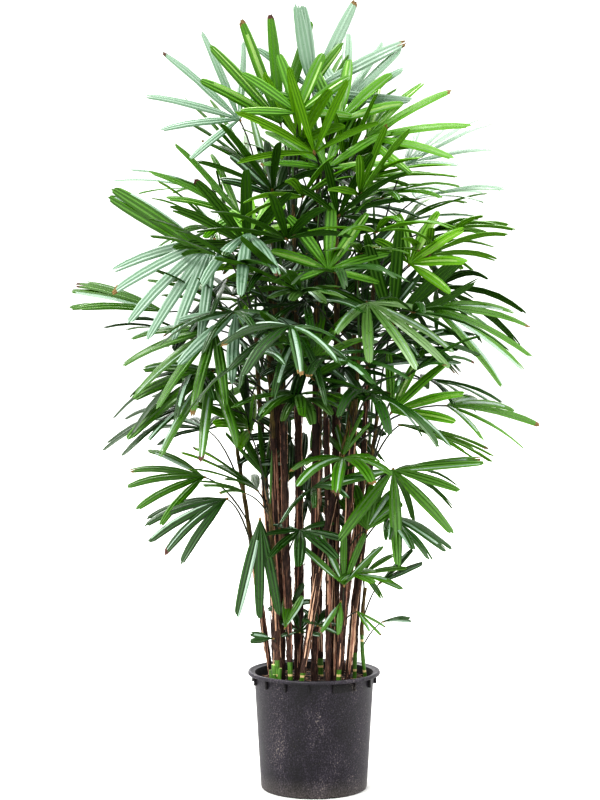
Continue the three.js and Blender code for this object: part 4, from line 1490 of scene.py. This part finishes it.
@dataclass
class Foliage:
    """All the living leaves, with their stalks, hubs and unopened spears."""

    petiole_radius: float = 2.5
    hub_radius: float = 4.6
    spear_length: float = 175.0
    foot_room: float = 8.0
    level_room: float = 20.0

    def __post_init__(self) -> None:
        """Start the pieces that run through the whole crown."""
        self.stalks = Sheaf()
        self.hubs = Sheaf()
        self.hub_points: list[Array] = []

    def tint_of(self, frond: Frond, draws: Draws) -> Tint:
        """The green of a frond by where it stands, painted as light and shade: brighter greens and
        the painted sheen outside and above, darker greens painted as shade deep within.

        Args:
            frond: The frond.
            draws: The chances that vary it.

        Returns:
            The green.
        """
        outward = np.hypot(frond.hub[0], frond.hub[1]) / along(CROWN, frond.hub[2])
        light = 0.3 * outward + 0.55 * (frond.hub[2] - 700) / 1300 + draws.between(-0.26, 0.26)
        steps = ((0.19, D), (0.34, M), (0.48, F), (0.58, W), (0.66, G), (0.74, S), (0.84, G))
        return next((tint for limit, tint in steps if light < limit), F)

    def add_frond(self, sheaf: Sheaf, frond: Frond, leaflets: Iterable[Leaflet]) -> None:
        """Add a frond: its leaflets to a tier's sheaf, its stalk and hub to their own.

        Args:
            sheaf: The tier's leaves.
            frond: The frond.
            leaflets: Its leaflets.
        """
        draws = Draws(BLADE_SEED + frond.seed)
        wear = Draws(WEAR_SEED + frond.seed)
        skins = np.array([sheaf.slot(skin) for skin in frond.tint.value.skins()])
        # Every other pleat facet, above and underneath, takes the darker copy of the green: painted
        # shade, as if the light fell from one side.
        painted_shade_facet = np.arange(BLADE_COLUMNS - 1) % 2
        for leaflet in leaflets:
            slots = np.full(len(BLADE_FACES), skins[2])
            upper, under = slots[: 2 * math.prod(BLADE_SIDE)].reshape(2, *BLADE_SIDE)
            upper[:] = skins[painted_shade_facet]
            under[:] = skins[2 + painted_shade_facet]
            # A streak of painted sheen along one or two facets.
            if frond.tint is not G and wear.chance() < SHEEN_STREAKED:
                streak = sheaf.slot(PAINTED_PALE_SHEEN_STREAK if frond.tint in (S, F) else PAINTED_SHEEN_STREAK)
                column = int(wear.between(0, BLADE_COLUMNS - 2))
                start, end = int(wear.between(1, 3)), int(wear.between(6, len(BLADE_ROWS)))
                upper[start:end, column : column + int(wear.between(1, 2.3))] = streak
            dry = draws.chance()
            if dry < BROWN_TIPPED:
                upper[-1] = under[-1] = sheaf.slot(DRY_TIP if dry < DRIED else RED_TIP)
            sheaf.add(leaflet.blade(draws), BLADE_FACES, slots)
        self.add_stalk(frond)
        self.hub_points.append(frond.hub)

    def add_stalk(self, frond: Frond) -> None:
        """Add a frond's stalk, from its sheathing foot to its hub, and the hub.

        Args:
            frond: The frond.
        """
        slim = min(1.0, 0.56 + frond.length / 500)
        shares = np.array([0, 0.04, 0.1, 0.22, 0.36, 0.5, 0.64, 0.78, 0.9, 1.0])
        radii = np.array([3.4, 3.0, 2.2, 1.0, 0.95, 0.9, 0.85, 0.8, 0.75, 0.8])
        radii[3:] *= self.petiole_radius
        points, faces = stem_tube(frond.petiole(shares), radii * slim, 6)
        self.stalks.add(points, faces, self.stalks.slot(PETIOLE_SKIN))
        reach = np.array([-7, -3, 1, 5, 9])[:, None]
        radii = self.hub_radius * slim * np.array([0.35, 0.8, 1.0, 0.8, 0.3])
        middles = frond.hub + frond.forward * reach * slim
        sides, outs = (np.tile(way, (len(middles), 1)) for way in (frond.across, frond.normal))
        points, faces = tube(middles, sides, outs, radii, radii * 0.6, 6)
        self.hubs.add(points, faces, self.hubs.slot(HUB_SKIN))

    def add_spear(self, cane: Cane, draws: Draws) -> None:
        """Add the next leaf of a cane, still folded in a spear.

        Args:
            cane: The cane.
            draws: The chances of its length and its lean.
        """
        length = self.spear_length * cane.size * draws.between(0.7, 1.1)
        lean = heading(draws.between(0, 360), draws.between(0.02, 0.12))
        foot = cane.axis(cane.height - 12)
        shares = np.array([0, 0.15, 0.4, 0.65, 0.88, 1.0])
        middles = foot + (UP + lean) * (length * shares)[:, None]
        radii = np.array([2.6, 2.4, 3.6, 3.8, 2.2, 0.5]) * cane.size**0.5
        points, faces = stem_tube(middles, radii, 8)
        self.stalks.add(points, faces, self.stalks.slot(SPEAR_SKIN))

    def packed_frond(
        self, cane_index: int, rank: int, corners: Corners
    ) -> tuple[Frond, list[Leaflet]]:
        """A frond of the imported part, grown again with the tries that it was built with.

        Args:
            cane_index: Its cane's place in the table.
            rank: Its rank on the cane.
            corners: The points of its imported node.

        Returns:
            The frond and its leaflets.
        """
        cane = CANES[cane_index]
        seed = cane_index * RANKS_APART + rank + 1
        row = next((r for r in FACE if (r.cane, r.rank) == (cane_index + 1, rank)), None)
        tries = []
        for turn in FROND_TRIES:
            if row:
                frond = row.frond(turn, seed, cane.axis(cane.frond_height(rank)))
            else:
                frond = ruled_frond(cane_index, rank, turn, seed)
            tries.append(frond)
            if corners.found(frond.marks()) > 1:
                break
        else:
            frond = max(tries, key=lambda tried: corners.found(tried.marks()))
        if row is None:
            frond.tint = self.tint_of(frond, Draws(TINT_SEED + seed))
        leaflets = []
        for index in range(frond.count):
            grown = [frond.leaflet(index, *attempt) for attempt in LEAFLET_TRIES]
            leaflets.append(max(grown, key=lambda leaflet: corners.found(leaflet.tip_corners())))
        return frond, leaflets

    def foot_height(self, cane: Cane, row: Posed) -> float:
        """The height at which a listed frond leaves a cane."""
        room = self.foot_room
        return min(cane.height - room, max(SOIL_TOP + room, row.hub[2] - 0.45 * row.length))

    def reach_from(self, cane_index: int, row: Posed) -> float:
        """How far a listed frond is from a cane.

        Args:
            cane_index: The cane's place in the table.
            row: The frond.

        Returns:
            How far out its hub is from where it would leave the cane, and half of how far up.
        """
        cane = CANES[cane_index]
        foot = cane.axis(self.foot_height(cane, row))
        return math.hypot(row.hub[0] - foot[0], row.hub[1] - foot[1]) + 0.5 * (row.hub[2] - foot[2])

    def extra_fronds(self) -> list[tuple[int, Frond]]:
        """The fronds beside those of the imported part: the inner ones, then the small between ones.

        Returns:
            Each with its cane's place in the table.
        """
        extra = []
        for i, row in enumerate(INNER):
            nearest = min(range(len(CANES)), key=lambda n: self.reach_from(n, row))
            height = self.foot_height(CANES[nearest], row)
            extra.append((nearest, row.frond(0, INNER_SEED + i, CANES[nearest].axis(height))))
        for cane_index, cane in enumerate(CANES):
            for rank in range(1, cane.fronds - 1):
                seed = BETWEEN_SEED + cane_index * RANKS_APART + rank
                frond = ruled_frond(cane_index, rank + 0.5, BETWEEN_TURN, seed)
                frond.hub[:2] = mix(frond.origin[:2], frond.hub[:2], BETWEEN_REACH)
                frond.tint = self.tint_of(frond, Draws(TINT_SEED + seed))
                near = min(float(np.linalg.norm(frond.hub - hub)) for hub in self.hub_points)
                cover = math.hypot(frond.hub[0], frond.hub[1]) + 0.7 * frond.length
                room = BETWEEN_COVER * along(CROWN, frond.hub[2])
                if near > BETWEEN_GAP and cover < room:
                    extra.append((cane_index, frond))
                    self.hub_points.append(frond.hub)
        return extra

    def build(self) -> None:
        """Build a piece of leaves for each packed tier, then the stalks and the hubs."""
        tiers: dict[tuple[int, int], Sheaf] = {}
        for cane_index, cane in enumerate(CANES):
            for level, ranks in enumerate(cane.tiers()):
                corners = Corners(self.node_of(cane_index, level))
                sheaf = tiers[cane_index, level] = Sheaf()
                for rank in ranks:
                    frond, leaflets = self.packed_frond(cane_index, rank, corners)
                    self.add_frond(sheaf, frond, leaflets)
            self.add_spear(cane, Draws(SPEAR_SEED + cane_index))
        for cane_index, frond in self.extra_fronds():
            levels = CANES[cane_index].tiers()
            middle = CANES[cane_index].frond_height(levels[-1][0])
            level = len(levels) - 1 if frond.origin[2] >= middle - self.level_room else 0
            leaflets = [frond.leaflet(index) for index in range(frond.count)]
            self.add_frond(tiers[cane_index, level], frond, leaflets)
        for (cane_index, level), sheaf in tiers.items():
            node = self.node_of(cane_index, level)
            placed(sheaf.piece(node.replace("fronds", "leaves"), PLEAT_ANGLE), "frond", node)
        placed(self.stalks.piece("leaf_stalks"), "frond")
        placed(self.hubs.piece("leaf_hubs"), "frond")

    @staticmethod
    def node_of(cane_index: int, level: int) -> str:
        """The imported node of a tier."""
        names = TIER_NAMES[len(CANES[cane_index].tiers()) - 1]
        return f"fronds_{cane_index + 1:02d}_{names[level]}"


# ---- The clump's stems ---------------------------------------------------------------------------


@dataclass
class Clump:
    """Every cane, its head among the fronds, and one cane that was cut back."""

    bare_canes: tuple[int, ...] = (2, 5, 7, 9, 12, 14, 15, 17, 21)
    bare_feet: tuple[float, ...] = (56, 62, 34, 64, 40, 70, 120, 48, 58)
    stub_places: tuple[tuple[float, float], ...] = (
        (-101, -95),
        (-91, -101),
        (-109, -89),
        (-99, -106),
    )
    stub_radii: tuple[float, ...] = (8.0, 6.2, 5.6, 4.6)
    stub_heights: tuple[float, ...] = (54, 45, 38, 30)

    def build(self) -> None:
        """Build the canes, then their heads as one piece, then the stump."""
        feet = dict(zip(self.bare_canes, self.bare_feet))
        heads = None
        for i, cane in enumerate(CANES):
            dress = CaneDress(cane, i + 1, bare_foot=feet.get(i + 1, 0.0))
            dress.build()
            mesh, finishes = dress.stem(cane.bare_top() + 0.3, cane.height, f"head_{i}")
            head = finished(mesh, "cane_heads", [HEAD_FIBRE, *finishes[1:]])
            heads = merged(heads, head) if heads else head
        placed(heads, "cane")
        placed(self.stump(), "cane")

    def stump(self) -> Piece:
        """Build the green feet of a cane and of its shoots that were cut back.

        Returns:
            The piece, with pale cut faces.
        """
        shapes = []
        for turn, radius in enumerate(self.stub_radii):
            top = self.stub_heights[turn]
            widths = (0, 1, 1, 1.08, 0.97, 0.94, 0)
            heights = (-5, -5, 14, 16, 19, top, top)
            profile = [(radius * wide, SOIL_TOP + up) for wide, up in zip(widths, heights)]
            shape = turned_profile(profile, 20)
            for face in shape.faces:
                face.material_index = int(face.calc_center_median().z > SOIL_TOP + top - 0.5)
            lean = Matrix.Rotation(0.08, 3, heading(90.0 * turn))
            bmesh.ops.rotate(shape, verts=shape.verts, cent=(0, 0, SOIL_TOP), matrix=lean)
            bmesh.ops.translate(shape, verts=shape.verts, vec=(*self.stub_places[turn], 0))
            shapes.append(shape)
        return finished(joined(shapes, "cane_stump"), "cane_stump", [CANE_SKIN, STUMP_CUT])


# ---- Container and compost -----------------------------------------------------------------------


@dataclass
class Container:
    """A black nursery container: rolled rim, gussets under it, band, bare panel and ring foot."""

    height: float = POT_HEIGHT
    rim_radius: float = RIM_RADIUS
    rim_depth: float = 10.0
    body_radius: float = BODY_RADIUS
    base_radius: float = 137.0
    wall: float = 3.2
    floor: float = 4.0
    band_depth: float = 35.0
    band_step: float = 1.6
    foot_ring: float = 104.0
    foot_boss: float = 42.0
    foot_recess: float = 4.0
    gusset_size: tuple[float, float, float] = (9.0, 4.0, 24.0)
    gussets: int = 16
    first_gusset: float = -95.0
    panel_size: tuple[float, float, float] = (3.0, 59.0, 25.0)
    panel_turn: float = -61.25
    panel_middle: float = 280.5
    drains: int = 8
    first_drain: float = -73.5
    drain_radius: float = 9.0
    drain_circle: float = 74.0
    slot_size: tuple[float, float, float] = (60.0, 26.0, 6.4)
    steps: int = 144

    def shell(self) -> Shape:
        """Turn the shell: foot, wall and rolled rim outside, then the wall and the floor inside.

        Returns:
            The shape, in millimetres.
        """
        band = self.height - self.band_depth
        band_radius = self.body_radius + self.band_step
        lip = self.height - self.rim_depth
        inner_floor = self.foot_recess + self.floor
        profile = [
            (0, 0),
            (self.foot_boss, 0),
            (self.foot_boss, self.foot_recess),
            (self.foot_ring, self.foot_recess),
            (self.foot_ring, 0),
            (self.base_radius - 5, 0),
            (self.base_radius - 1.4, 1.4),
            (self.base_radius, 5),
            (self.body_radius, band),
            (band_radius, band + self.band_step),
            (band_radius + 1, lip),
            (self.rim_radius - 2, lip),
            (self.rim_radius - 0.5, lip + 0.8),
            (self.rim_radius, lip + 2.5),
            (self.rim_radius - 0.3, self.height - 4),
            (self.rim_radius - 1.6, self.height - 1.2),
            (self.rim_radius - 4, self.height),
            (self.rim_radius - 7.5, self.height - 0.6),
            (self.rim_radius - 9, self.height - 3),
            (band_radius - self.wall + 2, self.height - 5),
            (band_radius - self.wall, self.height - 9),
            (self.base_radius - 5 - self.wall, inner_floor),
            (0, inner_floor),
        ]
        return turned_profile(profile, self.steps)

    def gusset(self, turn: float) -> Shape:
        """Make one of the gussets that brace the lip.

        Args:
            turn: Its heading, in degrees.

        Returns:
            The shape, in millimetres.
        """
        lip = self.height - self.rim_depth
        shape = bmesh.new()
        block(shape, self.gusset_size, (self.body_radius + 4, 0, lip - 11))
        bevel_all(shape, shape.edges, 0.7, 2)
        matrix = Matrix.Rotation(math.radians(turn), 3, "Z")
        bmesh.ops.rotate(shape, verts=shape.verts, cent=(0, 0, 0), matrix=matrix)
        return shape

    def panel(self) -> Shape:
        """Make the bare raised panel between two gussets, bent round the container.

        Returns:
            The shape, in millimetres.
        """
        shape = bmesh.new()
        block(shape, self.panel_size, (0, 0, 0))
        lengthwise = [e for e in shape.edges if abs(e.verts[0].co.y - e.verts[1].co.y) > 1]
        bmesh.ops.subdivide_edges(shape, edges=lengthwise, cuts=11, use_grid_fill=True)
        bevel_all(shape, [e for e in shape.edges if e.calc_face_angle(0) > 1], 0.9, 3)
        radius = self.body_radius + self.band_step
        for vert in shape.verts:
            turn = math.radians(self.panel_turn) + vert.co.y / radius
            spoke = radius + vert.co.x
            height = self.panel_middle + vert.co.z
            vert.co = (spoke * math.cos(turn), spoke * math.sin(turn), height)
        return shape

    def cutters(self) -> Piece:
        """Make the drain holes and the slots in the ring foot as one cutting shape.

        Returns:
            The cutter, linked into the scene.
        """
        shape = bmesh.new()
        radius = self.drain_radius
        for i in range(self.drains):
            hole = bmesh.ops.create_cone(
                shape, cap_ends=True, segments=20, radius1=radius, radius2=radius, depth=16
            )["verts"]
            bmesh.ops.translate(shape, verts=hole, vec=(self.drain_circle, 0, 6))
            slot = block(shape, self.slot_size, (self.foot_ring + 28, 0, 0))
            turn = math.radians(self.first_drain + 360 / self.drains * i)
            matrix = Matrix.Rotation(turn, 3, "Z")
            bmesh.ops.rotate(shape, verts=hole + slot, cent=(0, 0, 0), matrix=matrix)
        return linked("cutter", settled(shape, "cutter"))

    def build(self) -> Piece:
        """Drill the shell and add what stands on it.

        Returns:
            The piece.
        """
        body = linked("shell", settled(self.shell(), "shell"))
        cutter = self.cutters()
        cut = body.modifiers.new("cut", "BOOLEAN")
        cut.operation = "DIFFERENCE"
        cut.object = cutter
        cut.solver = "EXACT"
        graph = bpy.context.evaluated_depsgraph_get()
        drilled = bpy.data.meshes.new_from_object(body.evaluated_get(graph))
        for spent in (body, cutter):
            bpy.data.objects.remove(spent)
        shape = bmesh.new()
        shape.from_mesh(drilled)
        # The inner wall takes the darker plastic: painted shade inside the container.
        for face in shape.faces:
            middle = face.calc_center_median()
            inward = face.normal.x * middle.x + face.normal.y * middle.y < -0.5 * middle.xy.length
            face.material_index = int(inward and 0.02 < middle.z < (self.height - 4) * MM)
        turns = [self.first_gusset + 360 / self.gussets * i for i in range(self.gussets)]
        # The panel takes the darker grained plastic; on the gussets the same dark plastic is painted
        # shade.
        for added in [self.panel(), *map(self.gusset, turns)]:
            for face in added.faces:
                face.material_index = 1
            shape.from_mesh(settled(added, "brace"))
        bmesh.ops.scale(shape, vec=(1 / MM, 1 / MM, 1 / MM), verts=shape.verts)
        mesh = settled(shape, "nursery_container")
        piece = finished(mesh, "nursery_container", [POT_PLASTIC, PANEL_PLASTIC_AND_PAINTED_SHADE])
        return placed(piece, "pot", "pot")


@dataclass
class Soil:
    """The compost in the container, with bark chips and pale root fibres on it."""

    radius: float = 149.6
    bottom: float = 8.4
    bottom_radius: float = 128.4
    edge_height: float = 262.0
    rings: int = 30
    steps: int = 96
    chips: int = 420
    chip_reach: float = 143.0
    fibres: int = 220
    fibre_reach: float = 140.0

    def height_at(self, x: float, y: float) -> float:
        """The height of the uneven top.

        Args:
            x: How far right of the middle.
            y: How far behind the middle.

        Returns:
            The height.
        """
        lumps = noise.fractal(Vector((x / 24, y / 24, 0.3)), 1.0, 2.0, 4)
        edge = max(0.0, (math.hypot(x, y) - 120) / 30)
        return SOIL_TOP + 4.5 * lumps * (1 - 0.6 * edge) - 3 * edge

    def bed(self) -> Piece:
        """Turn the compost, and raise its lumps.

        Returns:
            The object, linked into the scene.
        """
        profile = [(0, self.bottom), (self.bottom_radius, self.bottom)]
        profile.append((self.radius - 0.6, self.edge_height))
        profile += [(self.radius * (1 - i / self.rings), SOIL_TOP) for i in range(self.rings + 1)]
        shape = turned_profile(profile, self.steps)
        for vert in shape.verts:
            if vert.co.z > SOIL_TOP - 1:
                vert.co.z = self.height_at(vert.co.x, vert.co.y)
        return finished(settled(shape, "compost"), "compost", [COMPOST])

    def scattered(self, draws: Draws, reach: float, proud: float) -> Array:
        """The next chance spot on the compost.

        Args:
            draws: The chances of its place.
            reach: How far from the middle it may be.
            proud: How far it is above the surface.

        Returns:
            The spot.
        """
        spot = heading(draws.between(0, 360), reach * math.sqrt(draws.chance()))
        spot[2] = self.height_at(spot[0], spot[1]) + proud
        return spot

    def add_chip(self, sheaf: Sheaf, draws: Draws) -> None:
        """Lay a bark chip on the compost.

        Args:
            sheaf: What lies on the compost.
            draws: The chances of its place and its size.
        """
        spot = self.scattered(draws, self.chip_reach, 1.0)
        way = unit(heading(draws.between(0, 360)) + UP * draws.between(-0.35, 0.35))
        length = draws.between(4, 15)
        middles = spot + way * (length * np.array([-0.5, -0.2, 0.25, 0.5]))[:, None]
        wide = np.array([0.4, 1.0, 0.9, 0.3]) * draws.between(1.5, 4.5)
        tangent = np.tile(way, (4, 1))
        sides = unit(np.cross(tangent, UP + heading(0, 0.01)))
        points, faces = tube(middles, sides, np.cross(tangent, sides), wide, wide * 0.45, 6)
        sheaf.add(points, faces, sheaf.slot(CHIP_BARK))

    def add_fibre(self, sheaf: Sheaf, draws: Draws) -> None:
        """Lay a bent root fibre on the compost.

        Args:
            sheaf: What lies on the compost.
            draws: The chances of its place, its length and its bend.
        """
        spot = self.scattered(draws, self.fibre_reach, 1.5)
        way = heading(draws.between(0, 360))
        bend = np.cross(UP, way) * draws.between(-8, 8)
        length = draws.between(10, 34)
        shares = np.linspace(-0.5, 0.5, 5)[:, None]
        middles = spot + way * (length * shares) + bend * shares**2
        middles[:, 2] += 3 * draws.chance() * (0.5 + shares[:, 0])
        points, faces = stem_tube(middles, [0.3, 0.5, 0.5, 0.45, 0.2], 4)
        sheaf.add(points, faces, sheaf.slot(LATHS[0]))

    def build(self) -> Piece:
        """Strew the compost with chips, and then with fibres.

        Returns:
            The piece.
        """
        draws = Draws(LITTER_SEED)
        sheaf = Sheaf()
        for _ in range(self.chips):
            self.add_chip(sheaf, draws)
        for _ in range(self.fibres):
            self.add_fibre(sheaf, draws)
        return placed(merged(self.bed(), sheaf.piece("litter")), "soil", "soil")


# ---- Studio --------------------------------------------------------------------------------------


@dataclass
class Studio:
    """A pale floor, soft light and the camera."""

    eye: tuple[float, float, float] = (-0.0363, -4.0, 1.0)
    lens: float = 69.48
    floor_radius: float = 60.0
    wall_light: float = 1.0
    ceiling_light: float = 2.2
    front_light: float = 1.3

    def build(self) -> None:
        """Set the floor, the lights, the sky and the camera."""
        scene = bpy.context.scene
        shape = bmesh.new()
        bmesh.ops.create_circle(shape, cap_ends=True, segments=96, radius=self.floor_radius / MM)
        floor = finished(settled(shape, "studio_floor"), "studio_floor", [FLOOR_PAINT])
        self.sun("key", (-0.5, -0.7, 1.0), 25, 1.5)
        self.sun("back", (-0.35, 0.9, 1.0), 40, 1.6)
        world = bpy.data.worlds.new("studio_sky")
        world.use_nodes = True
        self.dress_sky(world.node_tree)
        scene.world = world
        scene.view_settings.view_transform = "Standard"
        scene.view_settings.look = "High Contrast"
        lens = bpy.data.cameras.new("camera")
        lens.lens = self.lens
        lens.sensor_width = 36.0
        lens.clip_end = 200.0
        camera = linked("camera", lens)
        camera.location = self.eye
        camera.rotation_euler = (math.radians(90), 0, 0)
        scene.camera = camera

    def dress_sky(self, tree: Tree) -> None:
        """White walls all round up to the height of the view, under a brighter ceiling.

        Args:
            tree: The world's node tree.
        """
        names = ("Value", "From Min", "From Max", "To Min", "To Max")
        lights = []
        for axis, *span in (
            ("Z", 0.3, 0.55, self.wall_light, self.ceiling_light),
            ("Y", -0.9, -0.2, self.front_light, 1.0),
        ):
            inputs = dict(zip(names, (along_axis(tree, "Generated", axis), *span)))
            lights.append(add_node(tree, "ShaderNodeMapRange", inputs=inputs).outputs["Result"])
        inputs = {0: lights[0], 1: lights[1]}
        strength = add_node(tree, "ShaderNodeMath", {"operation": "MULTIPLY"}, inputs)
        background = tree.nodes["Background"]
        tree.links.new(strength.outputs[0], background.inputs["Strength"])
        background.inputs["Color"].default_value = (1, 1, 1, 1)

    @staticmethod
    def sun(name: str, place: tuple[float, float, float], angle: float, strength: float) -> None:
        """Hang a broad soft light far off, so that it lights the whole floor evenly.

        Args:
            name: The light's name.
            place: The direction that it shines from.
            angle: How wide it looks from the floor, in degrees.
            strength: Its strength.
        """
        lamp = bpy.data.lights.new(name, "SUN")
        lamp.angle = math.radians(angle)
        lamp.energy = strength
        linked(name, lamp).rotation_euler = (-Vector(place)).to_track_quat("-Z", "Y").to_euler()


def main() -> None:
    """Build the plant from the container up, and then the studio round it."""
    Container().build()
    Soil().build()
    Clump().build()
    Foliage().build()
    Studio().build()


if __name__ == "__main__":
    main()
